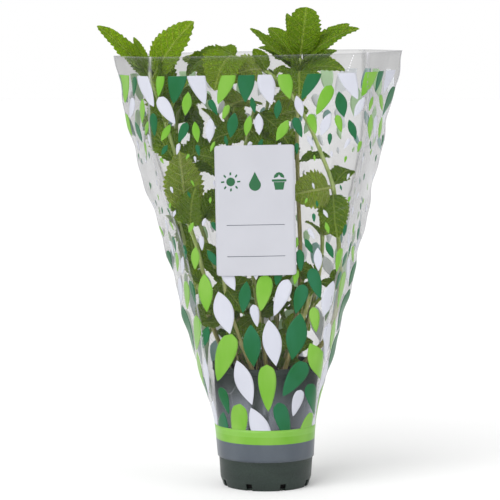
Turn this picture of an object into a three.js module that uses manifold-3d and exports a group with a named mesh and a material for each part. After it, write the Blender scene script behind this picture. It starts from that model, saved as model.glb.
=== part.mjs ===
// A mint plant in a nursery pot, inside a tall flared sleeve of clear film with a label on its front.
// Millimetres, +Z up, the front faces -Y, and the origin is the middle of the pot's flat underside.
import * as THREE from 'three';
import { mergeVertices } from 'three/addons/utils/BufferGeometryUtils.js';
import Module from 'manifold-3d';

const wasm = await Module();
wasm.setup();

// Driving dimensions of the pot
const POT = {
  sides: 40,
  height: 104.5,
  baseRadius: 36,
  footHeight: 7.5,
  footRadius: 38.6,
  lipHeight: 6,
  wallTopRadius: 44.2,
  lipRadius: 45.4,
  lipBevel: 0.5,
  wall: 1.2,
  floor: 1.6,
};
const NOTCH = { count: 8, width: 5.2, height: 6, reach: 6, proud: 1 };

// Driving dimensions of the filling, of the lumps in its top as wave numbers, and of the stems' holes
const COMPOST = { top: 93, bump: 1.6, rings: 3, sides: 24 };
const LUMPS = { broadX: 0.31, broadY: 0.27, shift: 1.3, fineX: 0.38, fineY: -0.4, fine: 0.5 };
const GAP = 0.3;
const HOLE = { radius: 3, height: 30, sides: 8 };

// Driving dimensions of the film sleeve: at some heights how far its middle has leant, its half
// width, its half depth, how far out its front corners are, and how sharp they are
const SLEEVE = { top: 366, film: 0.7, columns: 32, tilt: 0.0192 };
const SECTIONS = {
  height: [25, 55, 75, 104, 150, 200, 285, 366],
  middle: [0, -0.7, -1.5, -2, -2.1, -2.6, -6.8, -6.2],
  halfWidth: [41.1, 43.6, 48.2, 57.4, 69.6, 81.9, 104.3, 121.8],
  halfDepth: [41.1, 42.9, 44.8, 47.8, 48.4, 47.6, 46.6, 51],
  corner: [0.9, 0.9, 0.88, 0.82, 0.78, 0.79, 0.84, 0.74],
  sharpness: [6, 6, 6, 7, 8, 8, 6, 3.2],
};
const SLEEVE_ROWS = [25, 55, 66, 78, 92, 107, 130, 160, 200, 240, 285, 325, 366];
const ROUND_UP_TO = 48;
const PANELLED_FROM = 128;
const PANEL_BULGE = 0.13;

// Driving dimensions of the label, and how many cells it is split in
const LABEL = { width: 66, height: 108, middle: [-9, 238], tilt: 0.019, sheet: 0.6, corner: 0.9 };
const LABEL_CELLS = [8, 4];

// Driving dimensions of a leaf: blade thickness, the stalk's half width, and the share of its length
const LEAF = { blade: 0.7, stalk: 0.8, stalkShare: 0.12, fold: 0.22 };

// A blade's teeth: how many a side by size, where in its step a tooth's point is, how far points
// stand out and notches cut in, and the length past the last tooth in steps
const TEETH = { few: 2, some: 3, many: 4, someFrom: 32, manyFrom: 26 };
const TOOTH = { point: 0.7, out: 1.07, cut: 0.84, tip: 0.35 };
const STEM_THICKNESS = 2.8;
const STEM_STEP = 24;

// How near a drawn leaf may come to another stem's leaves, to another stem, and to the film
const CLEARANCE = { leaf: 6, own: 4, stem: 5, film: 3.4, ground: 110 };

// How many draws a leaf gets before it shrinks, after how many its spread doubles, how much and how
// often it shrinks, and how high drawn leaves reach on a stem whose top is set by hand
const DRAWS = 24;
const STRONGER_AFTER = 4;
const SHRINK = 0.82;
const SHRINKS = 3;
const TOP_UNDER_SET = 0.88;

// Pairs crowd towards a stem's top, where the youngest are shorter, and the film presses the leaves
// flat, so that they stand less deep and turn their faces to the front or the back
const CROWDING = 1.6;
const YOUNG = [0.75, 0.95];
const PRESSED = { depth: 0.6, turned: 0.9, front: 14 };

// What the draws of a leaf vary: least values and spreads of its length, turn, rise, width, roll and bow
const VARY = {
  length: 0.85,
  lengthSpread: 0.3,
  turnSpread: 0.7,
  topRise: 0.9,
  rise: 0.5,
  riseSpread: 0.8,
  width: 0.56,
  widthSpread: 0.1,
  rollSpread: 0.9,
  bow: 0.03,
  bowSpread: 0.06,
};

// The points over a leaf that are tested: shares from stem to tip, and from edge to edge
const TEST_ALONG = [0.25, 0.4, 0.55, 0.7, 0.85, 1];
const TEST_ACROSS = [-1, -0.5, 0, 0.5, 1];
const MARKS = 60;

// Each stem: its route from its foot in the filling, how many pairs of leaves it carries and from
// what share of its length, the length of its lowest and highest leaves, the turn of its first pair,
// the seed of its draws, and the leaves that are set by hand: where on the stem (as a height), the
// tip, the width, the way its face looks, and how far it bows
const STEMS = [
  {
    route: [[-15, -6, 79], [-15, -6, 97], [-30, -12, 130], [-48, -14, 166], [-58, -14, 204],
      [-66, -14, 229], [-74, -12, 272], [-83, -8, 304], [-98, -2, 350]],
    pairs: 5, from: 0.3, lengths: [38, 54], turn: 0.4, seed: 11,
    set: [
      { at: 348, tip: [-141.5, 4, 389], width: 18, face: [0.35, -0.8, 0.6], bow: 2 },
      { at: 343, tip: [-61, -16, 393], width: 31, face: [-0.3, -0.85, 0.4], bow: 5 },
      { at: 349, tip: [-110.5, -8, 379.5], width: 9, face: [0.2, -1, 0.1], bow: 1.5 },
      { at: 338, tip: [-121, 12, 372], width: 16, face: [0.2, -0.7, 0.6], bow: 2 },
      { at: 338, tip: [-88, 18, 366], width: 18, face: [0, -0.7, 0.6], bow: 2 },
      { at: 229, tip: [-72, -33, 285], width: 34, face: [0.05, -1, -0.15], bow: -4 },
    ],
  },
  {
    route: [[12, -2, 79], [12, -2, 97], [20, 0, 125], [28, 2, 160], [29, 2, 200], [27, 0, 250],
      [26, -2, 300], [27, -4, 335], [28.5, -6, 362]],
    pairs: 3, from: 0.25, lengths: [28, 32], turn: 1.2, seed: 23,
    set: [
      { at: 360, tip: [33.5, -12, 404.5], width: 29, face: [0, -1, 0.25], bow: 3 },
      { at: 357, tip: [76.5, -16, 388], width: 20, face: [-0.2, -0.6, 0.8], bow: 5 },
      { at: 357, tip: [-12.6, -22, 388], width: 17, face: [0.3, -0.55, 0.8], bow: -3 },
      { at: 353, tip: [70, 16, 391], width: 19, face: [-0.3, -0.7, 0.6], bow: 4 },
      { at: 353, tip: [2.5, 16, 387.5], width: 19, face: [0.2, -0.8, 0.5], bow: 4 },
      { at: 360, tip: [17.5, 4, 399.5], width: 12, face: [0.2, -0.9, 0.2], bow: 2 },
      { at: 348, tip: [-6, 2, 371.5], width: 17, face: [0.2, -0.5, 0.8], bow: 5 },
      { at: 346, tip: [65, -28, 353], width: 21, face: [0.1, -0.6, 0.8], bow: 7 },
      { at: 349, tip: [27, -42, 334], width: 34, face: [0, -0.8, 0.6], bow: 9 },
      { at: 344, tip: [60, 24, 368], width: 16, face: [-0.2, -0.6, 0.8], bow: 5 },
    ],
  },
  {
    route: [[27, -8, 79], [27, -8, 97], [37, -12, 111], [53, -14, 131], [62, -14, 170],
      [60.8, -14, 208], [56.5, -13, 252], [47, -14, 280], [34, -17, 310], [16, -18, 338],
      [-3, -14, 353], [-26, -8, 363]],
    pairs: 2, from: 0.3, lengths: [20, 24], turn: 0.3, seed: 5,
    set: [
      { at: 254, tip: [21, -26, 249], width: 33, face: [0, -1, 0.2], bow: 4 },
      { at: 252, tip: [59, -30, 214], width: 27, face: [-0.2, -1, 0.2], bow: 5 },
      { at: 254, tip: [72, 6, 268], width: 22, face: [-0.4, -0.8, 0.4], bow: 4 },
      { at: 352, tip: [-35, -30, 345], width: 27, face: [0.2, -0.8, 0.5], bow: 8 },
      { at: 362, tip: [-43, -36, 338], width: 36, face: [0, -0.6, 0.8], bow: 14 },
      { at: 362, tip: [-67, -8, 348], width: 26, face: [-0.3, -0.5, 0.8], bow: 10 },
      { at: 362, tip: [-48, 22, 364], width: 18, face: [0, -0.3, 1], bow: 6 },
    ],
  },
  {
    route: [[-4, 9, 79], [-4, 9, 97], [-18, 10, 130], [-37, 8, 170], [-50, 4, 205], [-60, 6, 235],
      [-72, 14, 275], [-76, 18, 305], [-70, 20, 330]],
    pairs: 6, from: 0.35, lengths: [36, 58], turn: 0.9, seed: 31, set: [],
  },
  {
    route: [[-22, 17, 79], [-22, 17, 97], [-24, 21, 140], [-24, 24, 190], [-28, 24, 240],
      [-32, 20, 290], [-34, 14, 334]],
    pairs: 6, from: 0.25, lengths: [34, 58], turn: 0.1, seed: 47, set: [],
  },
  {
    route: [[1, -19, 79], [1, -19, 97], [-5, -23, 140], [-12, -23, 190], [-18, -20, 240],
      [-18, -14, 285], [-10, -6, 318]],
    pairs: 5, from: 0.3, lengths: [34, 56], turn: 0.7, seed: 59, set: [],
  },
  {
    route: [[23, 18, 79], [23, 18, 97], [34, 20, 130], [44, 19, 170], [48, 16, 205], [45, 12, 240]],
    pairs: 3, from: 0.4, lengths: [24, 26], turn: 0.2, seed: 71, set: [],
  },
  {
    route: [[-30, -3, 79], [-30, -3, 97], [-43, -3, 130], [-56, -1, 165], [-66, 4, 195],
      [-74, 8, 226]],
    pairs: 4, from: 0.35, lengths: [28, 42], turn: 1.1, seed: 83, set: [],
  },
  {
    route: [[-10, -28, 79], [-10, -28, 97], [-22, -32, 128], [-32, -33, 160], [-38, -32, 196]],
    pairs: 3, from: 0.4, lengths: [24, 30], turn: 0.5, seed: 97, set: [],
  },
  {
    route: [[15, -26, 79], [15, -26, 97], [22, -31, 124], [33, -34, 152], [41, -32, 184]],
    pairs: 3, from: 0.4, lengths: [22, 26], turn: 0.2, seed: 103, set: [],
  },
  {
    route: [[4, 29, 79], [4, 29, 97], [9, 34, 140], [8, 35, 190], [2, 33, 240], [-2, 28, 290],
      [2, 22, 326]],
    pairs: 5, from: 0.3, lengths: [34, 54], turn: 0.8, seed: 113, set: [],
  },
];

// A value between stations: a smooth curve through the numbers of one row of SECTIONS
function along(row, height) {
  const h = SECTIONS.height;
  const last = h.length - 1;
  let i = 0;
  while (i < last - 1 && height > h[i + 1]) i += 1;
  const t = (height - h[i]) / (h[i + 1] - h[i]);
  const slope = (j) => {
    const a = Math.max(j - 1, 0);
    const b = Math.min(j + 1, last);
    return (row[b] - row[a]) / (h[b] - h[a]);
  };
  const span = h[i + 1] - h[i];
  const t2 = t * t;
  const t3 = t2 * t;
  return (2 * t3 - 3 * t2 + 1) * row[i] + (t3 - 2 * t2 + t) * span * slope(i)
    + (3 * t2 - 2 * t3) * row[i + 1] + (t3 - t2) * span * slope(i + 1);
}

function smooth(low, high, value) {
  const t = Math.min(Math.max((value - low) / (high - low), 0), 1);
  return t * t * (3 - 2 * t);
}

const sleeveMiddle = (height) => along(SECTIONS.middle, height);

// The sleeve's depth as a share of its half depth, at a share s of its half width: round on the pot,
// and higher up a bowed front panel that turns back at a corner towards the side seam
function depthShare(s, height) {
  const out = Math.min(Math.abs(s), 1);
  const round = Math.sqrt(1 - out * out);
  const corner = along(SECTIONS.corner, height);
  const sharp = along(SECTIONS.sharpness, height);
  const panel = 1 - PANEL_BULGE * out * out;
  const side = Math.max(1 - out, 1e-6) / (1 - corner) * (1 - PANEL_BULGE * corner * corner);
  const panelled = (panel ** -sharp + side ** -sharp) ** (-1 / sharp);
  const share = smooth(ROUND_UP_TO, PANELLED_FROM, height);
  return round + (panelled - round) * share;
}

// How far the film's outer face is in front of the sleeve's middle plane
function filmDepth(x, height, inset = 0) {
  const halfWidth = along(SECTIONS.halfWidth, height) - inset;
  const halfDepth = along(SECTIONS.halfDepth, height) - inset;
  return halfDepth * depthShare((x - sleeveMiddle(height)) / halfWidth, height);
}

// Whether a point is inside the sleeve, by at least the margin
function insideSleeve(point, margin) {
  const [x, y, z] = point;
  if (z > SLEEVE.top + 2 * margin) return true;
  const height = Math.min(z, SLEEVE.top);
  const halfWidth = along(SECTIONS.halfWidth, height) - SLEEVE.film - margin;
  const s = (x - sleeveMiddle(height)) / halfWidth;
  if (Math.abs(s) >= 1) return false;
  const halfDepth = along(SECTIONS.halfDepth, height) - SLEEVE.film - margin;
  return Math.abs(y) < halfDepth * depthShare(s, height);
}

function closedGeometry(points, triangles) {
  const geometry = new THREE.BufferGeometry();
  geometry.setAttribute('position', new THREE.Float32BufferAttribute(points.flat(), 3));
  geometry.setIndex(triangles.flat());
  return geometry;
}

function toSolid(geometry) {
  const bare = geometry.clone();
  bare.deleteAttribute('normal');
  bare.deleteAttribute('uv');
  const merged = mergeVertices(bare, 1e-4);
  return new wasm.Manifold(new wasm.Mesh({
    numProp: 3,
    vertProperties: new Float32Array(merged.attributes.position.array),
    triVerts: new Uint32Array(merged.index.array),
  }));
}

function toGeometry(solid) {
  const mesh = solid.getMesh();
  const geometry = new THREE.BufferGeometry();
  geometry.setAttribute('position', new THREE.BufferAttribute(mesh.vertProperties, 3));
  geometry.setIndex(new THREE.BufferAttribute(mesh.triVerts, 1));
  return geometry;
}

// A turned shape about +Z from its half section, given as [radius, height] pairs
function turned(profile, sides) {
  const points = profile.map(([r, z]) => new THREE.Vector2(r, z));
  return new THREE.LatheGeometry(points, sides).rotateX(Math.PI / 2);
}

function potGeometry() {
  const lipFoot = POT.height - POT.lipHeight;
  const bevel = POT.lipBevel;
  const inner = (radius) => radius - POT.wall;
  const cup = toSolid(turned([
    [0, 0],
    [POT.baseRadius, 0],
    [POT.footRadius, POT.footHeight],
    [POT.wallTopRadius, lipFoot],
    [POT.lipRadius, lipFoot + bevel],
    [POT.lipRadius, POT.height - bevel],
    [POT.lipRadius - bevel, POT.height],
    [inner(POT.wallTopRadius) + bevel, POT.height],
    [inner(POT.wallTopRadius), lipFoot],
    [inner(POT.footRadius), POT.footHeight],
    [inner(POT.baseRadius), POT.floor],
    [0, POT.floor],
  ], POT.sides));
  let pot = cup;
  for (let i = 0; i < NOTCH.count; i += 1) {
    const notch = new THREE.BoxGeometry(NOTCH.reach, NOTCH.width, 2 * NOTCH.height);
    notch.translate(POT.footRadius - NOTCH.reach / 2 + NOTCH.proud, 0, 0);
    notch.rotateZ((i + 0.5) * 2 * Math.PI / NOTCH.count);
    pot = pot.subtract(toSolid(notch));
  }
  return toGeometry(pot);
}

function potInnerRadius(height) {
  const lipFoot = POT.height - POT.lipHeight;
  const share = (height - POT.footHeight) / (lipFoot - POT.footHeight);
  return POT.footRadius - POT.wall + (POT.wallTopRadius - POT.footRadius) * share;
}

// The filling: the pot's inside, with a lumpy top and a plain hole for each stem's foot
function compostGeometry() {
  const { top, bump, rings, sides } = COMPOST;
  const underside = [
    [0, POT.floor + GAP],
    [POT.baseRadius - POT.wall - 2 * GAP, POT.floor + GAP],
    [POT.footRadius - POT.wall - GAP, POT.footHeight],
  ];
  const profile = [...underside, [potInnerRadius(top) - GAP, top]];
  for (let i = rings - 1; i >= 0; i -= 1) {
    profile.push([(potInnerRadius(top) - GAP) * i / rings, top]);
  }
  const body = turned(profile, sides);
  const at = body.attributes.position;
  for (let i = 0; i < at.count; i += 1) {
    const [x, y, z] = [at.getX(i), at.getY(i), at.getZ(i)];
    const broad = Math.sin(LUMPS.broadX * x + LUMPS.shift) * Math.cos(LUMPS.broadY * y);
    const fine = LUMPS.fine * Math.sin(LUMPS.fineX * x + LUMPS.fineY * y);
    if (z > top - GAP) at.setZ(i, z + bump * (broad + fine));
  }
  let filling = toSolid(body);
  for (const stem of STEMS) {
    const [x, y, z] = stem.route[0];
    const hole = new THREE.CylinderGeometry(HOLE.radius, HOLE.radius, HOLE.height, HOLE.sides);
    hole.rotateX(Math.PI / 2);
    filling = filling.subtract(toSolid(hole.translate(x, y, z - GAP + HOLE.height / 2)));
  }
  return toGeometry(filling);
}

// One ring of points round the sleeve at a height, inset from its outer face
function sleeveRing(height, inset) {
  const ring = [];
  const halfWidth = along(SECTIONS.halfWidth, height) - inset;
  const halfDepth = along(SECTIONS.halfDepth, height) - inset;
  const tilt = SLEEVE.tilt * smooth(POT.height, SLEEVE.top, height);
  for (let i = 0; i < SLEEVE.columns; i += 1) {
    const angle = i * 2 * Math.PI / SLEEVE.columns;
    const s = Math.cos(angle);
    const side = Math.sign(Math.round(Math.sin(angle) * 1e6));
    const y = side * halfDepth * depthShare(s, height);
    ring.push([sleeveMiddle(height) + halfWidth * s, y, height + tilt * halfWidth * s]);
  }
  return ring;
}

function sleeveGeometry() {
  const up = SLEEVE_ROWS.map((height) => sleeveRing(height, 0));
  const down = [...SLEEVE_ROWS].reverse().map((height) => sleeveRing(height, SLEEVE.film));
  const rings = [...up, ...down];
  const count = SLEEVE.columns;
  const triangles = [];
  rings.forEach((ring, r) => {
    const next = (r + 1) % rings.length;
    for (let i = 0; i < count; i += 1) {
      const j = (i + 1) % count;
      const [a, b, c, d] = [r * count + i, r * count + j, next * count + j, next * count + i];
      triangles.push([a, b, c], [a, c, d]);
    }
  });
  return closedGeometry(rings.flat(), triangles);
}

// A sheet that follows the front of the sleeve, a gap away from it
function labelGeometry() {
  const [columns, rows] = LABEL_CELLS;
  const points = [];
  for (const lift of [GAP, GAP + LABEL.sheet]) {
    for (let j = 0; j <= rows; j += 1) {
      for (let i = 0; i <= columns; i += 1) {
        const atCorner = (i === 0 || i === columns) && (j === 0 || j === rows);
        const pull = atCorner ? LABEL.corner : 0;
        const u = (i / columns - 0.5) * (LABEL.width - 2 * pull);
        const v = (j / rows - 0.5) * (LABEL.height - 2 * pull);
        const x = LABEL.middle[0] + u - v * LABEL.tilt;
        const z = LABEL.middle[1] + v + u * LABEL.tilt;
        points.push([x, -filmDepth(x, z) - lift, z]);
      }
    }
  }
  const across = columns + 1;
  const sheet = across * (rows + 1);
  const triangles = [];
  for (let j = 0; j < rows; j += 1) {
    for (let i = 0; i < columns; i += 1) {
      const [a, b] = [j * across + i, j * across + i + 1];
      const [c, d] = [b + across, a + across];
      triangles.push([a, c, b], [a, d, c]);
      triangles.push([sheet + a, sheet + b, sheet + c], [sheet + a, sheet + c, sheet + d]);
    }
  }
  const edge = [];
  for (let i = 0; i < columns; i += 1) edge.push(i);
  for (let j = 0; j < rows; j += 1) edge.push(j * across + columns);
  for (let i = columns; i > 0; i -= 1) edge.push(rows * across + i);
  for (let j = rows; j > 0; j -= 1) edge.push(j * across);
  edge.forEach((a, n) => {
    const b = edge[(n + 1) % edge.length];
    triangles.push([a, b, sheet + b], [a, sheet + b, sheet + a]);
  });
  return closedGeometry(points, triangles);
}

// Plain vector sums on [x, y, z] lists
const add = (a, b, share = 1) => [a[0] + b[0] * share, a[1] + b[1] * share, a[2] + b[2] * share];
const dot = (a, b) => a[0] * b[0] + a[1] * b[1] + a[2] * b[2];
const cross = (a, b) => [a[1] * b[2] - a[2] * b[1], a[2] * b[0] - a[0] * b[2], a[0] * b[1] - a[1] * b[0]];
const unit = (a) => a.map((v) => v / Math.sqrt(dot(a, a)));

// Seeded draws from 0 to 1
function dice(seed) {
  let state = seed;
  return () => {
    state = (state * 16807) % 2147483647;
    return state / 2147483647;
  };
}

// A stem's route as points, an even step along each of its spans
function routePoints(route) {
  const points = [];
  for (let i = 0; i < route.length - 1; i += 1) {
    const before = route[Math.max(i - 1, 0)];
    const after = route[Math.min(i + 2, route.length - 1)];
    const [p, q] = [route[i], route[i + 1]];
    const span = add(q, p, -1);
    const steps = Math.ceil(Math.sqrt(dot(span, span)) / STEM_STEP);
    for (let k = 0; k < steps; k += 1) {
      const t = k / steps;
      const [t2, t3] = [t * t, t * t * t];
      points.push(p.map((v, axis) => 0.5 * (2 * v + (q[axis] - before[axis]) * t
        + (2 * before[axis] - 5 * v + 4 * q[axis] - after[axis]) * t2
        + (3 * v - before[axis] - 3 * q[axis] + after[axis]) * t3)));
    }
  }
  points.push(route[route.length - 1]);
  return points;
}

// The point of a route at a share of its length, and the way it runs there
function onRoute(points, share) {
  const place = Math.min(Math.max(share, 0), 1) * (points.length - 1);
  const i = Math.min(Math.floor(place), points.length - 2);
  const run = add(points[i + 1], points[i], -1);
  return { point: add(points[i], run, place - i), run: unit(run) };
}

// The share of a route's length at which it reaches a height
function shareAtHeight(points, height) {
  let i = 0;
  while (i < points.length - 2 && points[i + 1][2] < height) i += 1;
  const rise = points[i + 1][2] - points[i][2];
  const part = Math.min(Math.max((height - points[i][2]) / rise, 0), 1);
  return (i + part) / (points.length - 1);
}

// A point of a leaf: t runs from the stem to the tip, v from one edge (-1) to the other (1)
function leafPoint(leaf, t, v, halfWidth, lift = 0) {
  const chord = add(leaf.tip, leaf.foot, -1);
  const side = unit(cross(leaf.face, unit(chord)));
  const face = cross(unit(chord), side);
  const rise = 4 * leaf.bow * t * (1 - t) + LEAF.fold * Math.abs(v) * halfWidth + lift;
  return add(add(add(leaf.foot, chord, t), side, v * halfWidth), face, rise);
}

// A mint leaf's half width, as a share of its widest, from the end of its stalk (0) to its tip (1)
const leafOutline = (s) => s ** 0.55 * (1 - s) ** 0.85 / 0.391;

function leafHalfWidth(leaf, t) {
  const s = (t - LEAF.stalkShare) / (1 - LEAF.stalkShare);
  return s <= 0 ? LEAF.stalk : Math.max(LEAF.stalk, leaf.width / 2 * leafOutline(s));
}

// Points spread over a leaf, by which it is kept clear of the rest
function leafSamples(leaf) {
  const samples = [];
  for (const t of TEST_ALONG) {
    for (const v of TEST_ACROSS) {
      samples.push(leafPoint(leaf, t, v, leafHalfWidth(leaf, Math.min(t, 0.999))));
    }
  }
  return samples;
}

// The blade as a closed body: a midrib, two toothed edges, and the same triangles on both faces
function leafGeometry(leaf) {
  const { teeth } = leaf;
  const place = (s) => LEAF.stalkShare + (1 - LEAF.stalkShare) * s / (teeth + TOOTH.tip);
  const points = [];
  const row = (t, w, lift) => [-1, 0, 1].map((v) => leafPoint(leaf, t, v, w, lift));
  for (const lift of [-LEAF.blade / 2, LEAF.blade / 2]) {
    points.push(leafPoint(leaf, 0, -1, LEAF.stalk, lift), leafPoint(leaf, 0, 1, LEAF.stalk, lift));
    points.push(...row(LEAF.stalkShare, LEAF.stalk, lift));
    for (let k = 0; k < teeth; k += 1) {
      const [point, foot] = [place(k + TOOTH.point), place(k + 1)];
      const reach = leafHalfWidth(leaf, point) * TOOTH.out;
      points.push(leafPoint(leaf, point, -1, reach, lift), leafPoint(leaf, point, 1, reach, lift));
      points.push(...row(foot, leafHalfWidth(leaf, foot) * TOOTH.cut, lift));
    }
    points.push(leafPoint(leaf, 1, 0, 0, lift));
  }
  const one = [[0, 1, 3], [0, 3, 2], [1, 4, 3]];
  const [left, right] = [[0, 2], [1, 4]];
  for (let k = 0; k < teeth; k += 1) {
    const n = 5 + 5 * k;
    one.push([n - 3, n - 2, n], [n - 2, n + 3, n], [n, n + 3, n + 2]);
    one.push([n - 2, n - 1, n + 1], [n - 2, n + 1, n + 3], [n + 3, n + 1, n + 4]);
    left.push(n, n + 2);
    right.push(n + 1, n + 4);
  }
  const tip = 5 + 5 * teeth;
  one.push([tip - 3, tip - 2, tip], [tip - 2, tip - 1, tip]);
  const edge = [...left, tip, ...right.reverse()];
  const triangles = [];
  for (const [a, b, c] of one) {
    triangles.push([a, b, c], [tip + 1 + a, tip + 1 + c, tip + 1 + b]);
  }
  edge.forEach((a, n) => {
    const b = edge[(n + 1) % edge.length];
    triangles.push([a, b, tip + 1 + b], [a, tip + 1 + b, tip + 1 + a]);
  });
  return closedGeometry(points, triangles);
}

// The leaf of one draw: pair k of a stem, on its first (0) or second (1) side
function drawnLeaf(stem, points, k, side, roll, strength, size) {
  const depth = k / Math.max(stem.pairs - 1, 1);
  const top = stem.set.length > 0 ? TOP_UNDER_SET : 1;
  const share = top - (top - stem.from) * depth ** CROWDING;
  const [low, high] = stem.lengths;
  const young = stem.set.length > 0 ? 1 : YOUNG[k] ?? 1;
  const usual = (high + (low - high) * depth) * young;
  const length = usual * (VARY.length + VARY.lengthSpread * roll()) * size;
  const swing = (roll() - 0.5) * VARY.turnSpread * strength;
  const turn = stem.turn + (k + 2 * side) * Math.PI / 2 + swing;
  const rise = (k === 0 ? VARY.topRise : VARY.rise) + (roll() - 0.5) * VARY.riseSpread * strength;
  const out = [Math.cos(turn), Math.sin(turn) * PRESSED.depth, 0];
  const { point } = onRoute(points, share);
  const run = unit(add([0, 0, Math.sin(rise)], out, Math.cos(rise)));
  const upper = add([0, 0, Math.cos(rise)], out, -Math.sin(rise));
  const face = unit(add(upper, [0, stem.route[1][1] < PRESSED.front ? -1 : 1, 0], PRESSED.turned));
  const across = cross(face, run);
  return {
    foot: point,
    tip: add(point, run, length),
    width: length * (VARY.width + VARY.widthSpread * roll()),
    face: unit(add(face, across, (roll() - 0.5) * VARY.rollSpread)),
    bow: length * (VARY.bow + VARY.bowSpread * roll()),
    teeth: length < TEETH.someFrom ? TEETH.few : TEETH.some,
  };
}

function apart(points, others, distance) {
  return points.every((p) => others.every((q) => {
    const gap = add(p, q, -1);
    return dot(gap, gap) > distance * distance;
  }));
}

// Whether a leaf is clear of the film, the ground, the other stems and all leaves so far
function isClear(samples, plant, plants) {
  const inRoom = samples.every((p) => insideSleeve(p, CLEARANCE.film) && p[2] > CLEARANCE.ground);
  return inRoom && plants.every((other) => {
    if (other === plant) {
      const outer = (leaf) => leaf.slice(TEST_ACROSS.length);
      return other.samples.every((own) => apart(outer(samples), outer(own), CLEARANCE.own));
    }
    return apart(samples, other.marks, CLEARANCE.stem)
      && other.samples.every((leaf) => apart(samples, leaf, CLEARANCE.leaf));
  });
}

// A leaf that is set by hand, with its foot on its stem
function setLeaf(points, { at, ...leaf }) {
  const { point } = onRoute(points, shareAtHeight(points, at));
  return { ...leaf, foot: point, teeth: leaf.width > TEETH.manyFrom ? TEETH.many : TEETH.some };
}

// All leaves of all stems: first those set by hand, then from each stem's top down the drawn pairs,
// each drawn again until it is clear, and smaller when no draw is
function growPlants() {
  const plants = STEMS.map((stem) => {
    const points = routePoints(stem.route);
    const marks = [];
    for (let i = 0; i <= MARKS; i += 1) marks.push(onRoute(points, i / MARKS).point);
    const leaves = stem.set.map((leaf) => setLeaf(points, leaf));
    return { stem, points, marks, leaves, samples: leaves.map(leafSamples) };
  });
  for (const plant of plants) {
    const { stem, points } = plant;
    const roll = dice(stem.seed);
    for (let place = 0; place < 2 * stem.pairs; place += 1) {
      const [pair, side] = [Math.floor(place / 2), place % 2];
      for (let draw = 0; draw < DRAWS * SHRINKS; draw += 1) {
        const size = SHRINK ** Math.floor(draw / DRAWS);
        const strength = 1 + (draw % DRAWS) / STRONGER_AFTER;
        const leaf = drawnLeaf(stem, points, pair, side, roll, strength, size);
        const samples = leafSamples(leaf);
        if (isClear(samples, plant, plants)) {
          plant.leaves.push(leaf);
          plant.samples.push(samples);
          break;
        }
      }
    }
  }
  return plants;
}

// A stem with its leaves, as one body: a square stem, and blades whose stalks start at its middle
function leafyStemGeometry(plant) {
  const half = STEM_THICKNESS / 2;
  const section = new THREE.Shape([
    new THREE.Vector2(-half, -half),
    new THREE.Vector2(half, -half),
    new THREE.Vector2(half, half),
    new THREE.Vector2(-half, half),
  ]);
  const route = new THREE.CatmullRomCurve3(plant.points.map((p) => new THREE.Vector3(...p)));
  const stalk = new THREE.ExtrudeGeometry(section, { steps: plant.points.length, extrudePath: route });
  const blades = plant.leaves.map((leaf) => toSolid(leafGeometry(leaf)));
  const joined = blades.reduce((body, blade) => body.add(blade), toSolid(stalk));
  const [whole] = joined.decompose().sort((a, b) => b.volume() - a.volume());
  return toGeometry(whole);
}

const pottedMint = new THREE.Group();

function addPart(name, geometry, color, roughness) {
  const material = new THREE.MeshStandardMaterial({ color, roughness, metalness: 0 });
  const mesh = new THREE.Mesh(geometry, material);
  mesh.name = name;
  pottedMint.add(mesh);
  return mesh;
}

addPart('pot', potGeometry(), 0x3c443f, 0.55);
addPart('compost', compostGeometry(), 0x2e2118, 0.95);
const film = addPart('sleeve', sleeveGeometry(), 0xd6dde0, 0.15);
film.material.transparent = true;
film.material.opacity = 0.3;
addPart('label', labelGeometry(), 0xd6d8df, 0.5);
growPlants().forEach((grown, i) => {
  addPart(`mint_stem_${i + 1}`, leafyStemGeometry(grown), 0x5b8420, 0.6);
});

export default pottedMint;
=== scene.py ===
# %% [markdown]
# # A potted mint plant in its sleeve
#
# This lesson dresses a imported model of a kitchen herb: a nursery pot, its compost, eleven leafy
# stems of mint, a tall sleeve of clear film with a leaf print, and a plain label. The packed
# model gives the real size and place of every piece, so each piece here is made where it stands.

# %% Load the frame
import math

import bpy
import numpy as np
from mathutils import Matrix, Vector, noise


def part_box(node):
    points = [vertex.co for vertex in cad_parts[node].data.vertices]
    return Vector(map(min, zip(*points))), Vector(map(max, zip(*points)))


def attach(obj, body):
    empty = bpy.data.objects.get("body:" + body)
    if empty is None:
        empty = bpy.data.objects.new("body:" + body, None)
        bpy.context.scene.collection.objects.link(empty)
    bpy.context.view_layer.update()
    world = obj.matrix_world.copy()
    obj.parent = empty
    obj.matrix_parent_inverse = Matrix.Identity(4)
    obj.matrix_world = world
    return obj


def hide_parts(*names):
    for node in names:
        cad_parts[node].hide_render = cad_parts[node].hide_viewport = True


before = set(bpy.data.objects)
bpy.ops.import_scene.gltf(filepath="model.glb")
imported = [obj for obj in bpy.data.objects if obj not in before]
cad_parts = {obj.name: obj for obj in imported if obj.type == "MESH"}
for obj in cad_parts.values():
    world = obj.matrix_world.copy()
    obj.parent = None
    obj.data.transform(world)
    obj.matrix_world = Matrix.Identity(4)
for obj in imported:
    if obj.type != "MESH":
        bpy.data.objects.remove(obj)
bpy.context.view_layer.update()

print("nodes:", sorted(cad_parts))

# %% [markdown]
# ## A few helpers
#
# Sizes are written in millimetres and turned into metres in one place, where a mesh is made.
# Colours are written as they look on a screen, 0 to 255, and turned into the linear values that
# a shader works with.

# %% Helpers for meshes and colours
MM = 0.001
ROOT = "root"


def tint(red, green, blue):
    def linear(value):
        share = value / 255
        return share / 12.92 if share <= 0.04045 else ((share + 0.055) / 1.055) ** 2.4
    return (linear(red), linear(green), linear(blue), 1.0)


def new_mesh(name, points, faces, materials=()):
    """A mesh from points in millimetres."""
    mesh = bpy.data.meshes.new(name)
    mesh.from_pydata((np.asarray(points, float) * MM).tolist(), [], faces)
    for material in materials:
        mesh.materials.append(material)
    return mesh


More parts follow.
